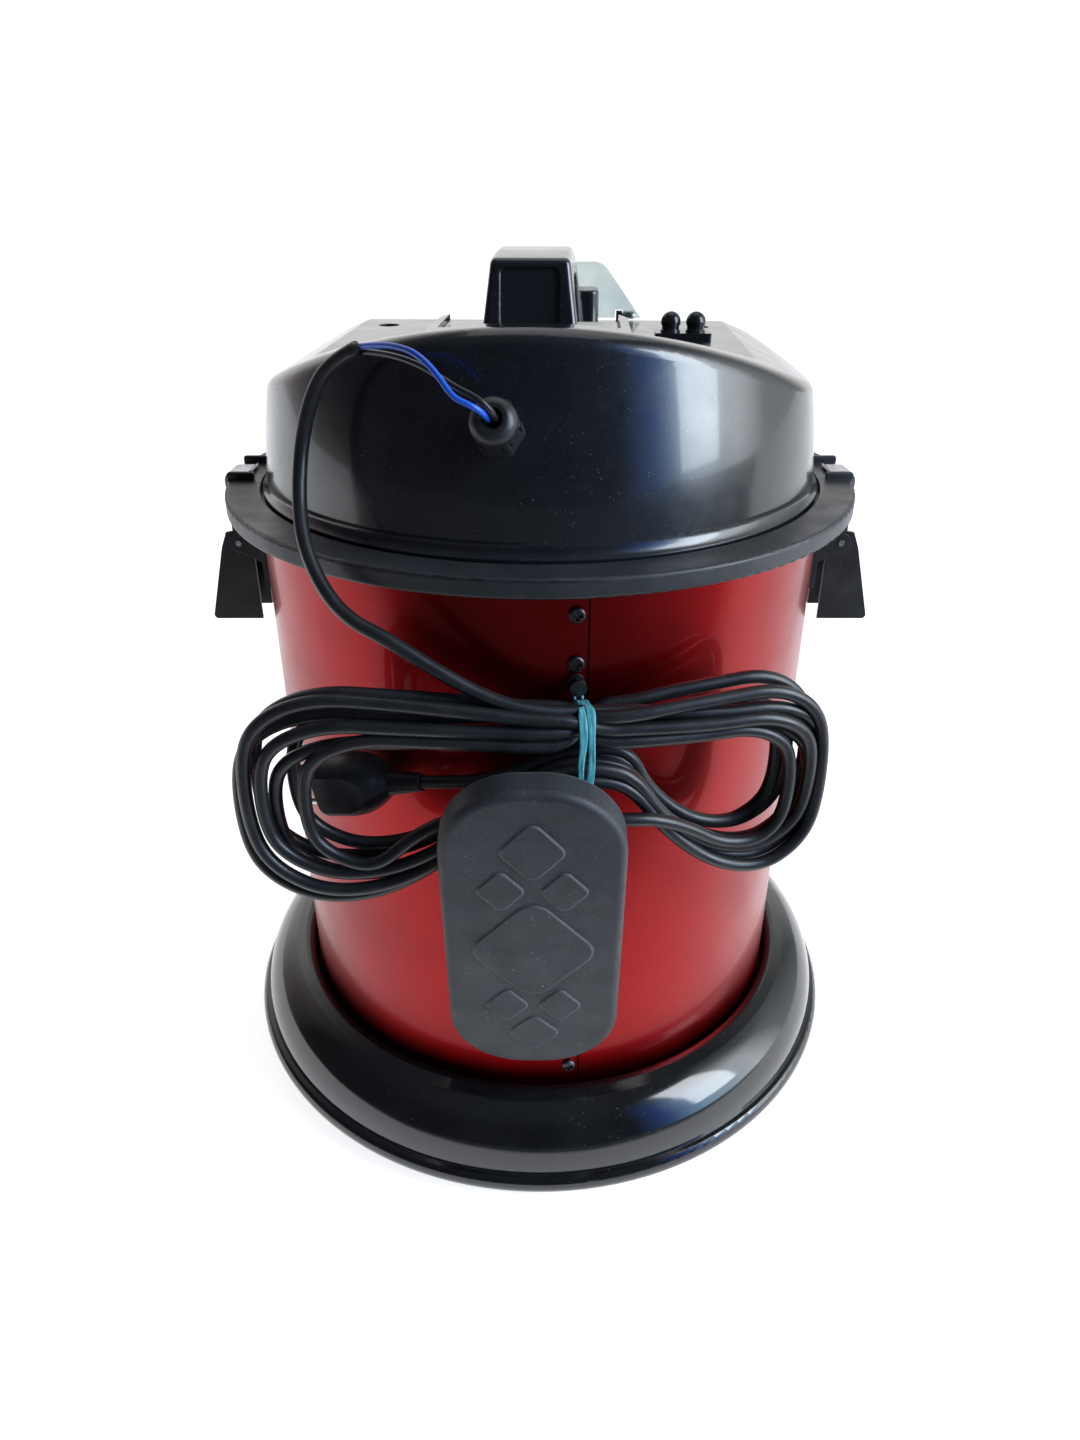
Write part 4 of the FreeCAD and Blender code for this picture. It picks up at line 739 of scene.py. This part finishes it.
def felt_sleeve():
    """Felt cup, softly dented between the cage's bars, with a rolled hem at its top."""
    low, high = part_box("filter_sleeve")
    radius = (high.x - low.x) / 2 - 0.9 * MM
    steps, bands = 144, 22
    bm = bmesh.new()
    rows = []
    for j in range(bands + 1):
        share = j / bands
        z = low.z + 2.0 * MM + (high.z - low.z - 3.0 * MM) * share
        row = []
        for k in range(steps):
            a = 2 * math.pi * k / steps
            soft = math.sin(math.pi * min(1.0, share * 1.2))
            dent = 0.45 * MM * soft * math.cos(12 * a) + 0.30 * MM * math.sin(5 * a + 9 * share)
            hem = 0.6 * MM if share > 0.93 else 0.0
            toe = 2.4 * MM * max(0.0, 1 - share * 8) ** 2
            r = radius - 0.5 * MM + dent + hem - toe
            row.append(bm.verts.new((r * math.cos(a), r * math.sin(a), z)))
        rows.append(row)
    for lower, upper in zip(rows, rows[1:]):
        for k in range(steps):
            n = (k + 1) % steps
            bm.faces.new((lower[k], lower[n], upper[n], upper[k]))
    inner = rows[0]
    for share in (0.75, 0.5, 0.25):
        row = []
        for k in range(steps):
            a = 2 * math.pi * k / steps
            r = (radius - 2.6 * MM) * share
            z = low.z + 0.9 * MM + 0.5 * MM * math.sin(3 * a) * share
            row.append(bm.verts.new((r * math.cos(a), r * math.sin(a), z)))
        for k in range(steps):
            n = (k + 1) % steps
            bm.faces.new((row[k], row[n], inner[n], inner[k]))
        inner = row
    bm.faces.new(list(reversed(inner)))
    obj = mesh_object("felt_sleeve", bm)
    thick = obj.modifiers.new("thickness", "SOLIDIFY")
    thick.thickness = 2.2 * MM
    thick.offset = -1.0
    return obj


sleeve = felt_sleeve()
finish_with(sleeve, "filter_cloth")
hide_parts("filter_sleeve")
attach(sleeve, "head")

# ---- floor, light and world -----------------------------------------------------------------


def area_light(name, at, aim, width, height, power, colour=(1.0, 1.0, 1.0)):
    data = bpy.data.lights.new(name, "AREA")
    data.shape = "RECTANGLE"
    data.size, data.size_y = width, height
    data.energy = power
    data.color = colour
    lamp = link(bpy.data.objects.new(name, data))
    lamp.location = at
    lamp.rotation_euler = (Vector(aim) - Vector(at)).to_track_quat("-Z", "Y").to_euler()


FLOOR_HALF = 6.0
FLOOR_Z = -0.0002
FLOOR_DARK_Y = -0.46
FLOOR_WHITE_Y = -0.31


def make_floor():
    """White floor round the object that turns dark in front of it."""
    bm = bmesh.new()
    signs = ((-1, -1), (1, -1), (1, 1), (-1, 1))
    corners = [bm.verts.new((x * FLOOR_HALF, y * FLOOR_HALF, FLOOR_Z)) for x, y in signs]
    bm.faces.new(corners)
    floor = mesh_object("floor", bm, False)
    m = Nodes("floor_pale")
    m.set(Roughness=0.85)
    tone = m.ramp(m.noise(3.0, 3.0), "Fac", [(0.3, 0.0), (0.7, 1.0)])
    shade = m.mix((tone, "Color"), (0.80, 0.80, 0.80), (0.84, 0.84, 0.84))
    m.join(shade, 2, m.shader, "Base Color")
    parts = m.add("ShaderNodeSeparateXYZ")
    m.join(m.place, "Object", parts, 0)
    near = m.add("ShaderNodeMapRange")
    near.inputs["From Min"].default_value = FLOOR_DARK_Y
    near.inputs["From Max"].default_value = FLOOR_WHITE_Y
    near.inputs["To Min"].default_value = 0.06
    near.inputs["To Max"].default_value = 0.85
    m.join(parts, "Y", near, "Value")
    fade = m.mix((near, "Result"), (0.05, 0.05, 0.055), (shade, 2))
    m.join(fade, 2, m.shader, "Base Color")
    m.join(near, "Result", m.shader, "Emission Strength")
    m.set(Emission_Color=(1.0, 1.0, 1.0, 1.0))
    floor.data.materials.append(m.material)


# Bearing in degrees from straight ahead of the object's front, to its right, and the colour there.
SURROUNDINGS = [
    (-180, (1.0, 1.0, 1.0)),
    (-142, (1.0, 1.0, 1.0)),
    (-126, (0.42, 0.36, 0.40)),
    (-104, (0.055, 0.05, 0.06)),
    (0, (0.03, 0.03, 0.034)),
    (26, (0.045, 0.05, 0.07)),
    (38, (0.20, 0.50, 1.7)),
    (52, (2.0, 3.2, 4.6)),
    (76, (4.2, 4.5, 4.7)),
    (92, (1.10, 1.16, 1.20)),
    (122, (0.34, 0.36, 0.36)),
    (140, (1.0, 1.0, 1.0)),
    (180, (1.0, 1.0, 1.0)),
]


def make_world():
    """Dark in front of the object, a tall window to its right and white all behind it."""
    world = bpy.data.worlds.new("studio")
    world.use_nodes = True
    tree = world.node_tree
    background = tree.nodes["Background"]
    background.inputs["Strength"].default_value = 1.05
    place = tree.nodes.new("ShaderNodeTexCoord")
    parts = tree.nodes.new("ShaderNodeSeparateXYZ")
    tree.links.new(place.outputs["Generated"], parts.inputs[0])
    ahead = tree.nodes.new("ShaderNodeMath")
    ahead.operation = "MULTIPLY"
    ahead.inputs[1].default_value = -1.0
    tree.links.new(parts.outputs["Y"], ahead.inputs[0])
    bearing = tree.nodes.new("ShaderNodeMath")
    bearing.operation = "ARCTAN2"
    tree.links.new(parts.outputs["X"], bearing.inputs[0])
    tree.links.new(ahead.outputs[0], bearing.inputs[1])
    share = tree.nodes.new("ShaderNodeMapRange")
    share.inputs["From Min"].default_value = -math.pi
    share.inputs["From Max"].default_value = math.pi
    tree.links.new(bearing.outputs[0], share.inputs["Value"])
    around = tree.nodes.new("ShaderNodeValToRGB")
    stops = around.color_ramp.elements
    stops.remove(stops[1])
    stops[0].position, stops[0].color = 0.0, SURROUNDINGS[0][1] + (1.0,)
    for degrees, colour in SURROUNDINGS[1:]:
        stops.new((degrees + 180) / 360).color = colour + (1.0,)
    tree.links.new(share.outputs["Result"], around.inputs["Fac"])
    height = tree.nodes.new("ShaderNodeMapRange")
    height.inputs["From Min"].default_value = 0.55
    height.inputs["From Max"].default_value = 0.85
    tree.links.new(parts.outputs["Z"], height.inputs["Value"])
    whole = tree.nodes.new("ShaderNodeMix")
    whole.data_type = "RGBA"
    tree.links.new(height.outputs["Result"], whole.inputs[0])
    tree.links.new(around.outputs["Color"], whole.inputs[6])
    whole.inputs[7].default_value = (0.09, 0.095, 0.105, 1.0)
    tree.links.new(whole.outputs[2], background.inputs["Color"])
    bpy.context.scene.world = world
    bpy.context.scene.view_settings.view_transform = "Standard"


make_floor()
make_world()
area_light("key_right", (1.05, -0.75, 0.85), (0.0, 0.0, 0.28), 0.45, 1.1, 12.0, (0.93, 0.97, 1.0))
area_light("top_soft", (0.15, 0.35, 1.9), (0.0, 0.0, 0.3), 1.2, 1.2, 3.5)
